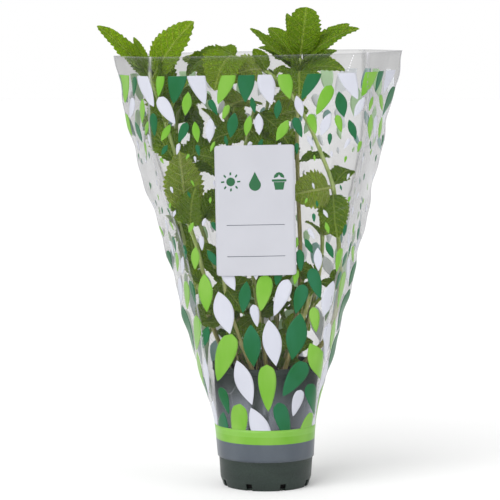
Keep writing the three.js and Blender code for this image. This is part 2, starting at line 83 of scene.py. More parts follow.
def new_object(name, data):
    """An object in the scene that holds a mesh, a lamp or a camera."""
    thing = bpy.data.objects.new(name, data)
    bpy.context.scene.collection.objects.link(thing)
    return thing


def make_piece(name, points, faces, materials, face_slots=None, smooth=True):
    """A mesh object that rides on the root body."""
    mesh = new_mesh(name, points, faces, materials)
    if face_slots is not None:
        mesh.polygons.foreach_set("material_index", np.asarray(face_slots, np.int32))
    mesh.polygons.foreach_set("use_smooth", [smooth] * len(mesh.polygons))
    piece = new_object(name, mesh)
    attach(piece, ROOT)
    return piece


def point_value(piece, name, values):
    """One number for each point of a mesh, which its material reads as an attribute."""
    attribute = piece.data.attributes.new(name, "FLOAT", "POINT")
    attribute.data.foreach_set("value", np.asarray(values, np.float32))


def surface_map(piece, coordinates):
    """A UV map from one pair of numbers for each point."""
    loops = np.empty(len(piece.data.loops), np.int32)
    piece.data.loops.foreach_get("vertex_index", loops)
    layer = piece.data.uv_layers.new(name="surface")
    layer.data.foreach_set("uv", np.asarray(coordinates, np.float32)[loops].ravel())


def grid_faces(rows, columns, first=0, close=False, flip=False):
    """Quads between the points of a grid that is stored row by row."""
    faces = []
    for j in range(rows - 1):
        for i in range(columns if close else columns - 1):
            n = (i + 1) % columns
            a, b = first + j * columns + i, first + j * columns + n
            c, d = first + (j + 1) * columns + n, first + (j + 1) * columns + i
            faces.append((d, c, b, a) if flip else (a, b, c, d))
    return faces


def tell(piece):
    places = np.array([v.co for v in piece.data.vertices]) / MM
    print(piece.name, len(piece.data.polygons), "faces", places.min(0).round(1), places.max(0).round(1))


# %% Helpers for rings and rims
def around(count):
    """Equal angles of a full turn."""
    return np.arange(count) * 2 * math.pi / count


def ring_points(radius, height, count):
    return [(radius * math.cos(a), radius * math.sin(a), height) for a in around(count)]


def capped_faces(rings, sides):
    """Faces over rings of points with one point before them and one after, like a closed jar."""
    faces = [(0, 1 + (i + 1) % sides, 1 + i) for i in range(sides)]
    faces += grid_faces(rings, sides, first=1, close=True)
    top, last = 1 + (rings - 1) * sides, 1 + rings * sides
    return faces + [(top + i, top + (i + 1) % sides, last) for i in range(sides)]


def rim_of(rows, columns):
    """The numbers of a grid's outermost points, in order round it."""
    rim = list(range(columns))
    rim += [j * columns + columns - 1 for j in range(1, rows)]
    rim += [(rows - 1) * columns + i for i in range(columns - 2, -1, -1)]
    return rim + [j * columns for j in range(rows - 2, 0, -1)]


print("rim of a grid of 3 rows and 4 columns:", rim_of(3, 4))

# %% [markdown]
# ## Nodes for the materials
#
# Every finish here has slow changes of tone, so one small group makes them: a noise in the
# object's own space, stretched and sharpened by its inputs. A second group draws the veins of a
# mint leaf from the leaf's own map, where u runs across the blade and v runs from stalk to tip.
# The groups give out masks only, and the shaders stay in the materials.

# %% Helpers for node trees
def link(tree, *pairs):
    for source, target in pairs:
        tree.links.new(source, target)


def sum_node(tree, operation, first, second=None, third=None):
    """A Math node whose inputs are numbers or sockets; gives back its output."""
    node = tree.nodes.new("ShaderNodeMath")
    node.operation = operation
    for place, value in enumerate((first, second, third)):
        if value is None:
            continue
        if isinstance(value, (int, float)):
            node.inputs[place].default_value = value
        else:
            tree.links.new(value, node.inputs[place])
    return node.outputs[0]


def ramp_between(tree, value, low, high):
    """A mask that rises from 0 to 1 as a value goes from low to high."""
    node = tree.nodes.new("ShaderNodeMapRange")
    node.interpolation_type = "SMOOTHSTEP"
    node.inputs["From Min"].default_value = low
    node.inputs["From Max"].default_value = high
    tree.links.new(value, node.inputs["Value"])
    return node.outputs["Result"]


def blend_colours(tree, mask, first, second):
    """A colour between two others; each is a tuple or a socket."""
    node = tree.nodes.new("ShaderNodeMix")
    node.data_type = "RGBA"
    for place, colour in (("A", first), ("B", second)):
        socket = next(s for s in node.inputs if s.name == place and s.type == "RGBA")
        if isinstance(colour, tuple):
            socket.default_value = colour
        else:
            tree.links.new(colour, socket)
    tree.links.new(mask, node.inputs["Factor"])
    return next(s for s in node.outputs if s.type == "RGBA")


def read_attribute(tree, name):
    node = tree.nodes.new("ShaderNodeAttribute")
    node.attribute_name = name
    return node.outputs["Fac"]


def new_group(name, inputs, outputs):
    group = bpy.data.node_groups.new(name, "ShaderNodeTree")
    for title, value in inputs:
        socket = group.interface.new_socket(title, in_out="INPUT", socket_type="NodeSocketFloat")
        socket.default_value = value
    for title in outputs:
        group.interface.new_socket(title, in_out="OUTPUT", socket_type="NodeSocketFloat")
    return group, group.nodes.new("NodeGroupInput"), group.nodes.new("NodeGroupOutput")


def use_group(tree, group, **values):
    node = tree.nodes.new("ShaderNodeGroup")
    node.node_tree = group
    for title, value in values.items():
        node.inputs[title].default_value = value
    return node


def new_material(name, **settings):
    """A material with one Principled shader, whose plain values are set on its own sockets."""
    material = bpy.data.materials.new(name)
    material.use_nodes = True
    shader = material.node_tree.nodes["Principled BSDF"]
    for title, value in settings.items():
        shader.inputs[title.replace("_", " ")].default_value = value
    return material, material.node_tree, shader


def bump(tree, shader, height, strength, distance_mm):
    node = tree.nodes.new("ShaderNodeBump")
    node.inputs["Strength"].default_value = strength
    node.inputs["Distance"].default_value = distance_mm * MM
    link(tree, (height, node.inputs["Height"]), (node.outputs["Normal"], shader.inputs["Normal"]))


# %% The group for slow changes of tone
MOTTLE_DETAIL = 4.0


def build_mottle():
    """A noise mask; Size is the patches' width in millimetres, Upright stretches them upwards."""
    inputs = [("Size", 10.0), ("Upright", 1.0), ("Low", 0.3), ("High", 0.7)]
    group, start, end = new_group("mottle", inputs, ["Mask"])
    where = group.nodes.new("ShaderNodeTexCoord")
    parts = group.nodes.new("ShaderNodeSeparateXYZ")
    join = group.nodes.new("ShaderNodeCombineXYZ")
    pattern = group.nodes.new("ShaderNodeTexNoise")
    pattern.inputs["Detail"].default_value = MOTTLE_DETAIL
    link(group, (where.outputs["Object"], parts.inputs[0]))
    per_metre = sum_node(group, "DIVIDE", 1 / MM, start.outputs["Size"])
    height = sum_node(group, "DIVIDE", parts.outputs["Z"], start.outputs["Upright"])
    link(group, (parts.outputs["X"], join.inputs["X"]), (parts.outputs["Y"], join.inputs["Y"]),
         (height, join.inputs["Z"]), (join.outputs[0], pattern.inputs["Vector"]),
         (per_metre, pattern.inputs["Scale"]))
    spread = group.nodes.new("ShaderNodeMapRange")
    link(group, (pattern.outputs["Fac"], spread.inputs["Value"]),
         (start.outputs["Low"], spread.inputs["From Min"]),
         (start.outputs["High"], spread.inputs["From Max"]),
         (spread.outputs["Result"], end.inputs["Mask"]))
    return group


MOTTLE = build_mottle()


def mottle(tree, **settings):
    """A mask of slow changes, as one socket."""
    return use_group(tree, MOTTLE, **settings).outputs["Mask"]


print("group:", MOTTLE.name)

# %% The group for a mint leaf's veins
VEINS = {"pairs": 7, "rise": 0.2, "curve": 0.14, "start": 8.5, "width": 0.095, "narrowing": -0.05,
         "midrib": 0.09, "net": 15.0, "net_line": 0.12}


def build_veins():
    """Masks for the midrib and side veins, and for the fine net between them."""
    group, start, end = new_group("mint_veins", [("Net", VEINS["net"])], ["Veins", "Net"])
    where = group.nodes.new("ShaderNodeUVMap")
    where.uv_map = "surface"
    parts = group.nodes.new("ShaderNodeSeparateXYZ")
    link(group, (where.outputs[0], parts.inputs[0]))
    across = sum_node(group, "ABSOLUTE", sum_node(group, "SUBTRACT", parts.outputs["X"], 0.5))
    across = sum_node(group, "MULTIPLY", across, 2.0)
    squared = sum_node(group, "MULTIPLY", across, across)
    lean = sum_node(group, "MULTIPLY_ADD", across, VEINS["rise"],
                    sum_node(group, "MULTIPLY", squared, VEINS["curve"]))
    order = sum_node(group, "MULTIPLY", sum_node(group, "SUBTRACT", parts.outputs["Y"], lean),
                     float(VEINS["pairs"]))
    part = sum_node(group, "FRACT", sum_node(group, "ADD", order, VEINS["start"]))
    near = sum_node(group, "ABSOLUTE", sum_node(group, "SUBTRACT", part, 0.5))
    width = sum_node(group, "MULTIPLY_ADD", across, VEINS["narrowing"], VEINS["width"])
    side = sum_node(group, "SUBTRACT", 1.0, sum_node(group, "DIVIDE", near, width))
    midrib = sum_node(group, "SUBTRACT", 1.0, sum_node(group, "DIVIDE", across, VEINS["midrib"]))
    both = sum_node(group, "MAXIMUM", sum_node(group, "MAXIMUM", side, midrib), 0.0)
    cells = group.nodes.new("ShaderNodeTexVoronoi")
    cells.feature = "DISTANCE_TO_EDGE"
    link(group, (where.outputs[0], cells.inputs["Vector"]),
         (start.outputs["Net"], cells.inputs["Scale"]))
    inside = ramp_between(group, cells.outputs["Distance"], 0.0, VEINS["net_line"])
    net = sum_node(group, "SUBTRACT", 1.0, inside)
    link(group, (both, end.inputs["Veins"]), (net, end.inputs["Net"]))
    return group


MINT_VEINS = build_veins()
print("group:", MINT_VEINS.name)

# %% [markdown]
# ## Mint leaves and stems as materials
#
# A mint leaf is matt and hairy, so its shader is rough and its highlight weak. Its upper face is a
# lively green, its underside is greyer and paler, and the veins are paler than the blade. Each
# point of a leaf carries two numbers: `tone` from an old dark leaf (0) to a young bright one (1),
# which is also raised on the higher leaves as painted light from above, and `under` for the
# underside. Leaves let light through, which a little subsurface light gives. A stem runs from woody
# brown to green by its `age`, and has fine streaks along it.

# %% Materials of the plant
LEAF_OLD = tint(58, 89, 3)
LEAF_YOUNG = tint(97, 127, 6)
LEAF_UNDER = tint(116, 138, 42)
VEIN_TOP = tint(164, 184, 86)
VEIN_UNDER = tint(190, 202, 124)
LEAF_TONE = {"patch": 7.0, "patches": 0.25, "darker": -0.12, "veins": 0.7, "veins_under": 0.2, "net": 0.18}
LEAF_RELIEF = {"veins": -1.0, "net": -0.45, "patches": 0.5, "height": 2.4}


def build_leaf_material():
    material, tree, shader = new_material("mint_leaf", Roughness=0.46, Specular_IOR_Level=0.14,
                                          Subsurface_Weight=0.45, Subsurface_Scale=0.003,
                                          Subsurface_Radius=(0.75, 1.0, 0.15))
    veins = use_group(tree, MINT_VEINS)
    patches = mottle(tree, Size=LEAF_TONE["patch"])
    tone = sum_node(tree, "ADD", read_attribute(tree, "tone"), LEAF_TONE["darker"])
    tone = sum_node(tree, "MULTIPLY_ADD", patches, LEAF_TONE["patches"], tone)
    top = blend_colours(tree, tone, LEAF_OLD, LEAF_YOUNG)
    under = read_attribute(tree, "under")
    ink = blend_colours(tree, under, top, LEAF_UNDER)
    vein_ink = blend_colours(tree, under, VEIN_TOP, VEIN_UNDER)
    vein_share = sum_node(tree, "MULTIPLY_ADD", under, LEAF_TONE["veins_under"], LEAF_TONE["veins"])
    vein_share = sum_node(tree, "MULTIPLY", veins.outputs["Veins"], vein_share)
    net_share = sum_node(tree, "MULTIPLY", veins.outputs["Net"], LEAF_TONE["net"])
    netted = blend_colours(tree, net_share, ink, vein_ink)
    link(tree, (blend_colours(tree, vein_share, netted, vein_ink), shader.inputs["Base Color"]))
    relief = sum_node(tree, "MULTIPLY", veins.outputs["Veins"], LEAF_RELIEF["veins"])
    relief = sum_node(tree, "MULTIPLY_ADD", veins.outputs["Net"], LEAF_RELIEF["net"], relief)
    relief = sum_node(tree, "MULTIPLY_ADD", patches, LEAF_RELIEF["patches"], relief)
    bump(tree, shader, relief, 1.0, LEAF_RELIEF["height"])
    return material


def build_stem_material():
    material, tree, shader = new_material("mint_stem", Roughness=0.5, Specular_IOR_Level=0.4,
                                          Sheen_Weight=0.15)
    age = read_attribute(tree, "age")
    streaks = mottle(tree, Size=2.4, Upright=9.0, Low=0.35, High=0.65)
    woody = blend_colours(tree, streaks, tint(120, 112, 54), tint(160, 150, 94))
    green = blend_colours(tree, streaks, tint(132, 156, 70), tint(170, 186, 116))
    link(tree, (blend_colours(tree, age, woody, green), shader.inputs["Base Color"]))
    bump(tree, shader, streaks, 0.4, 0.3)
    return material


MINT_LEAF = build_leaf_material()
MINT_STEM = build_stem_material()
print("materials:", MINT_LEAF.name, MINT_STEM.name)

# %% [markdown]
# ## Pot, compost and card as materials
#
# The pot is cheap moulded plastic, dark grey-green, with faint flow marks and a fine grain of grey
# dust. The compost is dark crumbs with paler fibres, and below its top it is painted darker still,
# as painted shade inside the pot. The card of the label is smooth and white, and its light grey
# colour is painted shade.

# %% Materials of the pot, the compost and the card
DUST_SHARE = 0.22
POT_ROUGHNESS = {"least": 0.36, "more": 0.16}
# Heights in mm over which the compost's painted shade fades out towards its top
COMPOST_PAINTED_SHADE = (60, 88)


def build_pot_material():
    material, tree, shader = new_material("pot_plastic", Roughness=0.45, Specular_IOR_Level=0.3)
    flow = mottle(tree, Size=30.0, Upright=0.3)
    grain = mottle(tree, Size=0.9)
    colour = blend_colours(tree, flow, tint(25, 36, 31), tint(36, 48, 42))
    dusty = sum_node(tree, "MULTIPLY", grain, DUST_SHARE)
    link(tree, (blend_colours(tree, dusty, colour, tint(78, 86, 84)), shader.inputs["Base Color"]))
    rough = sum_node(tree, "MULTIPLY_ADD", flow, POT_ROUGHNESS["more"], POT_ROUGHNESS["least"])
    link(tree, (rough, shader.inputs["Roughness"]))
    bump(tree, shader, grain, 0.25, 0.15)
    return material


def build_compost_material():
    material, tree, shader = new_material("compost", Roughness=0.95, Specular_IOR_Level=0.2)
    clods = mottle(tree, Size=4.0, Low=0.35, High=0.65)
    fibres = mottle(tree, Size=1.1, Low=0.55, High=0.75)
    dark = blend_colours(tree, clods, tint(34, 25, 19), tint(66, 49, 36))
    crumbly = blend_colours(tree, fibres, dark, tint(104, 82, 58))
    where = tree.nodes.new("ShaderNodeTexCoord")
    parts = tree.nodes.new("ShaderNodeSeparateXYZ")
    link(tree, (where.outputs["Object"], parts.inputs[0]))
    # Below these heights the compost is painted near black, as painted shade inside the pot
    above_painted_shade = ramp_between(tree, parts.outputs["Z"], *(height * MM for height in COMPOST_PAINTED_SHADE))
    link(tree, (blend_colours(tree, above_painted_shade, tint(12, 11, 10), crumbly), shader.inputs["Base Color"]))
    bump(tree, shader, clods, 0.8, 1.2)
    return material


def build_card_material():
    material, tree, shader = new_material("label_card", Roughness=0.34, Specular_IOR_Level=0.45)
    patches = mottle(tree, Size=40.0)
    grain = mottle(tree, Size=0.6)
    # The card is white; these light greys are painted shade
    colour = blend_colours(tree, patches, tint(179, 180, 187), tint(184, 185, 192))
    link(tree, (colour, shader.inputs["Base Color"]))
    bump(tree, shader, grain, 0.1, 0.05)
    return material


POT_PLASTIC = build_pot_material()
COMPOST_EARTH = build_compost_material()
LABEL_CARD = build_card_material()
print("materials:", POT_PLASTIC.name, COMPOST_EARTH.name, LABEL_CARD.name)

# %% [markdown]
# ## The film and its inks
#
# The sleeve is thin clear film, which greys what is behind it a little. Its folds, seams, mouth, hem
# and fine crumple lines are painted white as painted highlights, it is painted whiter where it is
# seen at a slant as painted reflection, and round the pot it is painted paler as haze and painted
# reflection. One Principled shader does this with Alpha: low where the film is seen face on, higher
# where it is seen at a slant or in the patches of haze and painted reflection, and highest at the
# painted highlights. An ink is opaque, glossy from the film over it, and paler on its inner face,
# where the white under the colour shows through, and painted lighter still there, as painted light
# in the sleeve's shade.

# %% Materials of the sleeve
# Alpha shares of the film; the fold and crumple shares are for painted highlights
FILM = {"face_on": 0.16, "slanting": 0.42, "glinting": 0.6, "crumple_glint": 0.16, "hazy_reflection": 0.42, "facet": 0.07,
        "cloudy": 0.03, "most": 0.95}
FILM_RAMPS = {"crumple_glint": (0.0, 0.012), "crumple_glint_patches": (0.45, 0.95), "painted_reflection": (0.2, 0.7), "hazy_reflection": (0.25, 0.55)}
# Film colours: clear, haze with painted reflection, and the white of painted highlight and painted
# reflection
FILM_CLEAR = tint(44, 45, 47)
FILM_HAZE_AND_REFLECTION = tint(140, 144, 156)
FILM_PAINTED_REFLECTION = tint(206, 206, 212)
FACETS = {"size": 34.0, "upright": 2.6}
LIGHT_STOPPED = {"film": 0.08, "ink": 0.3}


def let_light_in(tree, seen, stopped):
    """The alpha for a ray of light, which thin film and thin ink stop only in part."""
    path = tree.nodes.new("ShaderNodeLightPath")
    lighting = sum_node(tree, "MAXIMUM", path.outputs["Is Shadow Ray"], path.outputs["Is Diffuse Ray"])
    passing = sum_node(tree, "MULTIPLY_ADD", lighting, stopped - 1, 1.0)
    return sum_node(tree, "MULTIPLY", passing, seen)


def build_facets(tree):
    """A value for each large facet of the creased film, and the distance to its edge."""
    where = tree.nodes.new("ShaderNodeTexCoord")
    shape = tree.nodes.new("ShaderNodeVectorMath")
    shape.operation = "MULTIPLY"
    fine = 1 / (FACETS["size"] * MM)
    shape.inputs[1].default_value = (fine, fine, fine / FACETS["upright"])
    cells = tree.nodes.new("ShaderNodeTexVoronoi")
    edges = tree.nodes.new("ShaderNodeTexVoronoi")
    edges.feature = "DISTANCE_TO_EDGE"
    parts = tree.nodes.new("ShaderNodeSeparateColor")
    for pattern in (cells, edges):
        pattern.inputs["Scale"].default_value = 1.0
        link(tree, (shape.outputs[0], pattern.inputs["Vector"]))
    link(tree, (where.outputs["Object"], shape.inputs[0]), (cells.outputs["Color"], parts.inputs[0]))
    return parts.outputs[0], edges.outputs["Distance"]


def build_film_material():
    material, tree, shader = new_material("clear_film", Roughness=0.14, Specular_IOR_Level=0.55)
    slant = tree.nodes.new("ShaderNodeLayerWeight")
    slant.inputs["Blend"].default_value = 0.25
    facing = slant.outputs["Facing"]
    clouds = mottle(tree, Size=26.0, Upright=3.0)
    facet, edge = build_facets(tree)
    # Fine white lines along the facets' edges, in patches, are painted highlights of crumpled film
    crumple_glint = sum_node(tree, "SUBTRACT", 1.0, ramp_between(tree, edge, *FILM_RAMPS["crumple_glint"]))
    crumple_glint = sum_node(tree, "MULTIPLY", crumple_glint, ramp_between(tree, clouds, *FILM_RAMPS["crumple_glint_patches"]))
    crumple_glint = sum_node(tree, "MULTIPLY", crumple_glint, FILM["crumple_glint"] / FILM["glinting"])
    painted_glint = sum_node(tree, "MAXIMUM", read_attribute(tree, "painted_glint"), crumple_glint)
    # White at the painted highlights and where the film is seen at a slant, as painted reflection
    painted_reflection = sum_node(tree, "MAXIMUM", painted_glint, ramp_between(tree, facing, *FILM_RAMPS["painted_reflection"]))
    # Patches of haze and painted reflection over the pot
    in_patches = ramp_between(tree, clouds, *FILM_RAMPS["hazy_reflection"])
    haze_and_reflection = sum_node(tree, "MULTIPLY", read_attribute(tree, "haze_and_reflection"), in_patches)
    clear = blend_colours(tree, haze_and_reflection, FILM_CLEAR, FILM_HAZE_AND_REFLECTION)
    link(tree, (blend_colours(tree, painted_reflection, clear, FILM_PAINTED_REFLECTION), shader.inputs["Base Color"]))
    seen = sum_node(tree, "MULTIPLY_ADD", facing, FILM["slanting"], FILM["face_on"])
    for mask, share in ((clouds, "cloudy"), (facet, "facet"), (haze_and_reflection, "hazy_reflection"), (painted_glint, "glinting")):
        seen = sum_node(tree, "MULTIPLY_ADD", mask, FILM[share], seen)
    seen = sum_node(tree, "MINIMUM", seen, FILM["most"])
    link(tree, (let_light_in(tree, seen, LIGHT_STOPPED["film"]), shader.inputs["Alpha"]))
    bump(tree, shader, clouds, 0.25, 1.5)
    return material


def build_ink(name, usual, other):
    """An ink whose colour drifts between two, given as they look on a screen."""
    material, tree, shader = new_material(name, Roughness=0.3, Specular_IOR_Level=0.28)
    colour = blend_colours(tree, mottle(tree, Size=18.0, Upright=2.0), tint(*usual), tint(*other))
    link(tree, (colour, shader.inputs["Base Color"]),
         (let_light_in(tree, 1.0, LIGHT_STOPPED["ink"]), shader.inputs["Alpha"]))
    return material


CLEAR_FILM = build_film_material()
# Each ink's second pair is its inner face: paler where the white under the colour shows through, and
# painted lighter still, as painted light in the sleeve's shade
INK_COLOURS = {
    "dark": ("dark_green", [(8, 90, 42), (28, 101, 66)], [(158, 190, 188), (144, 180, 176)]),
    "light": ("light_green", [(101, 160, 36), (122, 171, 66)], [(190, 224, 178), (198, 228, 188)]),
    "pale": ("pale_green", [(116, 171, 60), (124, 175, 74)], [(194, 226, 182), (202, 230, 192)]),
    "white": ("white", [(194, 196, 206), (188, 190, 201)], [(244, 246, 252), (236, 238, 246)]),
    "grey": ("grey", [(74, 81, 90), (84, 91, 99)], [(150, 154, 160), (142, 146, 152)]),
}
INKS = {key: (build_ink(f"ink_{name}", *outside), build_ink(f"ink_{name}_inside", *inside))
        for key, (name, outside, inside) in INK_COLOURS.items()}
LABEL_INK = build_ink("label_ink", (38, 92, 56), (44, 100, 64))
# The white of the holes' lips is a painted highlight
LIP_PAINTED_GLINT = build_ink("raised_lip_glint", (246, 246, 248), (238, 238, 242))
print("inks:", sorted(INKS))

# %% [markdown]
# ## The pot
#
# A nursery pot is one thin moulded cup: a floor, a stepped foot with drainage notches, a tapered
# wall, and a rim that stands out. A turned outline makes it, and a Boolean cuts the notches, so
# their edges are crisp like the mould's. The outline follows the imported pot, with rounded corners.

# %% The pot's outline and its notches
POT = {"height": 104.5, "base": 36.0, "foot_height": 7.5, "foot": 38.6, "lip_height": 6.0,
       "wall_top": 44.2, "lip": 45.4, "wall": 1.2, "floor": 1.6, "sides": 160, "lip_slope": 0.4,
       "lip_inside": 0.5, "halfway": 50}
NOTCH = {"count": 8, "width": 5.2, "height": 6.0, "reach": 6.0, "proud": 1.0}
BOX_SIDES = [(0, 1, 3, 2), (4, 6, 7, 5), (0, 4, 5, 1), (2, 3, 7, 6), (0, 2, 6, 4), (1, 5, 7, 3)]
SHARP_ANGLE = math.radians(40)
ROUNDING = {"radius": 0.45, "steps": 3}


def rounded(corners):
    """An outline whose inner corners are rounded off by a small radius."""
    points = [np.array(corners[0], float)]
    for before, corner, after in zip(corners, corners[1:], corners[2:]):
        here = np.array(corner, float)
        back, on = np.array(before) - here, np.array(after) - here
        cut = min(ROUNDING["radius"], np.linalg.norm(back) / 3, np.linalg.norm(on) / 3)
        start = here + back / np.linalg.norm(back) * cut
        end = here + on / np.linalg.norm(on) * cut
        for k in range(ROUNDING["steps"] + 1):
            t = k / ROUNDING["steps"]
            points.append((1 - t) ** 2 * start + 2 * t * (1 - t) * here + t * t * end)
    points.append(np.array(corners[-1], float))
    return points


def turned(outline, sides):
    """Points and faces of an outline of (radius, height) turned about +Z, closed on the axis."""
    points = [(0, 0, outline[0][1])]
    for radius, height in outline[1:-1]:
        points += ring_points(radius, height, sides)
    points.append((0, 0, outline[-1][1]))
    return points, capped_faces(len(outline) - 2, sides)


def notch_blocks():
    """Points and faces of one box for each notch, round the pot's foot."""
    far = POT["foot"] + NOTCH["proud"]
    points, faces = [], []
    for i in range(NOTCH["count"]):
        angle = (i + 0.5) * 2 * math.pi / NOTCH["count"]
        out = np.array([math.cos(angle), math.sin(angle)])
        beside = np.array([-out[1], out[0]])
        for radius in (far - NOTCH["reach"], far):
            for half in (-NOTCH["width"] / 2, NOTCH["width"] / 2):
                for height in (-1, NOTCH["height"]):
                    points.append((*(out * radius + beside * half), height))
        faces += [tuple(8 * i + n for n in side) for side in BOX_SIDES]
    return points, faces


def cut_notches(pot):
    """A Boolean that is applied at once, so that only the cut mesh stays."""
    cutter = new_object("notches", new_mesh("notches", *notch_blocks()))
    cut = pot.modifiers.new("notches", "BOOLEAN")
    cut.operation, cut.object, cut.solver = "DIFFERENCE", cutter, "EXACT"
    seen = pot.evaluated_get(bpy.context.evaluated_depsgraph_get())
    whole = bpy.data.meshes.new_from_object(seen)
    pot.modifiers.clear()
    pot.data = whole
    bpy.data.objects.remove(cutter)


def make_pot():
    lip_foot = POT["height"] - POT["lip_height"]
    slope = (POT["wall_top"] - POT["foot"]) / (lip_foot - POT["foot_height"])
    halfway = POT["halfway"]
    outline = rounded([
        (0, 0), (POT["base"], 0), (POT["foot"], POT["foot_height"]),
        (POT["foot"] + slope * halfway, POT["foot_height"] + halfway), (POT["wall_top"], lip_foot),
        (POT["lip"], lip_foot + POT["lip_slope"]), (POT["lip"], POT["height"]),
        (POT["wall_top"] - POT["wall"] + POT["lip_inside"], POT["height"]),
        (POT["wall_top"] - POT["wall"], lip_foot),
        (POT["foot"] - POT["wall"], POT["foot_height"]),
        (POT["base"] - POT["wall"], POT["floor"]), (0, POT["floor"])])
    points, faces = turned(outline, POT["sides"])
    pot = make_piece("nursery_pot", points, faces, [POT_PLASTIC])
    cut_notches(pot)
    edges = pot.modifiers.new("sharp_edges", "EDGE_SPLIT")
    edges.split_angle = SHARP_ANGLE
    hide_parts("pot")
    return pot


tell(make_pot())

# %% [markdown]
# ## The compost
#
# The filling is a lumpy disc just under the rim. A polar grid of points is raised by layered
# noise, and loose crumbs lie on it: small rough pebbles, half sunk, each drawn from a seeded
# generator so that the script gives the same heap on every run.

# %% The compost and its crumbs
COMPOST = {"top": 93.0, "bottom": 2.0, "bump": 1.5, "rings": 34, "sides": 110,
           "off_wall": 0.35, "off_base": 0.8, "off_foot": 0.4}
CRUMBS = {"count": 420, "seed": 7, "off_wall": 2.6, "size": (0.5, 1.5), "stretch": (0.7, 1.2),
          "rough": (0.75, 1.25), "rise": 0.2}


def pot_inner_radius(height):
    lip_foot = POT["height"] - POT["lip_height"]
    share = (height - POT["foot_height"]) / (lip_foot - POT["foot_height"])
    return POT["foot"] - POT["wall"] + (POT["wall_top"] - POT["foot"]) * share


def compost_height(x, y):
    """The top's height: broad lumps and fine ones, each (turns per millimetre, layer, share)."""
    lumps = [noise.noise(Vector((x * rate, y * rate, layer))) * share
             for rate, layer, share in ((0.07, 0.3, 1.2), (0.35, 4.1, 0.8))]
    return COMPOST["top"] + COMPOST["bump"] * (lumps[0] + lumps[1])


def make_compost():
    radius = pot_inner_radius(COMPOST["top"]) - COMPOST["off_wall"]
    base, foot = POT["base"] - POT["wall"], POT["foot"] - POT["wall"]
    low_rings = [(base - COMPOST["off_base"], COMPOST["bottom"]),
                 (foot - COMPOST["off_foot"], POT["foot_height"])]
    sides = COMPOST["sides"]
    points = [(0, 0, COMPOST["bottom"])]
    for ring, height in low_rings:
        points += ring_points(ring, height, sides)
    for k in range(COMPOST["rings"], 0, -1):
        level = ring_points(radius * k / COMPOST["rings"], 0, sides)
        points += [(x, y, compost_height(x, y)) for x, y, _ in level]
    points.append((0, 0, compost_height(0, 0)))
    faces = capped_faces(COMPOST["rings"] + len(low_rings), sides)
    heap = make_piece("compost_filling", points, faces, [COMPOST_EARTH])
    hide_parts("compost")
    return heap


def make_crumbs():
    """Rough eight-sided pebbles, half sunk in the compost's top."""
    draw = np.random.default_rng(CRUMBS["seed"])
    corners = np.array([(1, 0, 0), (-1, 0, 0), (0, 1, 0), (0, -1, 0), (0, 0, 1), (0, 0, -1)], float)
    shell = [(0, 2, 4), (2, 1, 4), (1, 3, 4), (3, 0, 4), (2, 0, 5), (1, 2, 5), (3, 1, 5), (0, 3, 5)]
    points, faces = [], []
    reach = pot_inner_radius(COMPOST["top"]) - CRUMBS["off_wall"]
    for k in range(CRUMBS["count"]):
        angle, out = draw.uniform(0, 2 * math.pi), reach * math.sqrt(draw.uniform(0, 1))
        size = draw.uniform(*CRUMBS["size"]) * draw.uniform(*CRUMBS["stretch"], 3)
        turn = draw.uniform(0, 2 * math.pi)
        c, s = math.cos(turn), math.sin(turn)
        spin = np.array([[c, -s, 0], [s, c, 0], [0, 0, 1]])
        x, y = out * math.cos(angle), out * math.sin(angle)
        place = np.array([x, y, compost_height(x, y) + CRUMBS["rise"]])
        rough = corners * size * draw.uniform(*CRUMBS["rough"], (6, 1))
        points += (rough @ spin.T + place).tolist()
        faces += [tuple(6 * k + n for n in face) for face in shell]
    crumbs = make_piece("compost_crumbs", points, faces, [COMPOST_EARTH], smooth=False)
    return crumbs


tell(make_compost())
tell(make_crumbs())

# %% [markdown]
# ## The shape of the sleeve
#
# The sleeve starts as a ring round the pot and opens into a wide, shallow mouth, with a bowed
# front and back panel that turn at a soft corner towards the side seams. A few sections give its
# width, depth and corner, and a smooth curve runs between them. The film, its print, its bands
# and the label all ask one function for the place of a point, so they lie on each other exactly.

# %% The sleeve's sections
GAP = 0.3
SLEEVE = {"foot": 25.0, "top": 366.0, "film": 0.7, "tilt": 0.0192, "row": 2.5, "columns": 300}
SECTIONS = {
    "height": [25, 55, 75, 104, 150, 200, 285, 366],
    "middle": [0, -0.7, -1.5, -2, -2.1, -2.6, -6.8, -6.2],
    "half_width": [41.1, 43.6, 48.2, 57.4, 69.6, 81.9, 104.3, 121.8],
    "half_depth": [41.1, 42.9, 44.8, 47.8, 48.4, 47.6, 46.6, 51],
    "corner": [0.9, 0.9, 0.88, 0.82, 0.78, 0.79, 0.84, 0.74],
    "sharpness": [6, 6, 6, 7, 8, 8, 6, 3.2],
}
ROUND_UP_TO = 48
PANELLED_FROM = 128
PANEL_BULGE = 0.13


def along(name, height):
    """A smooth curve through one row of SECTIONS; height may be an array."""
    stations = np.array(SECTIONS["height"], float)
    row = np.array(SECTIONS[name], float)
    last = len(stations) - 1
    ends = [(max(j - 1, 0), min(j + 1, last)) for j in range(last + 1)]
    slopes = np.array([(row[b] - row[a]) / (stations[b] - stations[a]) for a, b in ends])
    i = np.clip(np.searchsorted(stations[1:], height, side="left"), 0, last - 1)
    span = stations[i + 1] - stations[i]
    t = (height - stations[i]) / span
    return ((2 * t ** 3 - 3 * t ** 2 + 1) * row[i] + (t ** 3 - 2 * t ** 2 + t) * span * slopes[i]
            + (3 * t ** 2 - 2 * t ** 3) * row[i + 1] + (t ** 3 - t ** 2) * span * slopes[i + 1])


def ease(low, high, value):
    t = np.clip((np.asarray(value, float) - low) / (high - low), 0, 1)
    return t * t * (3 - 2 * t)


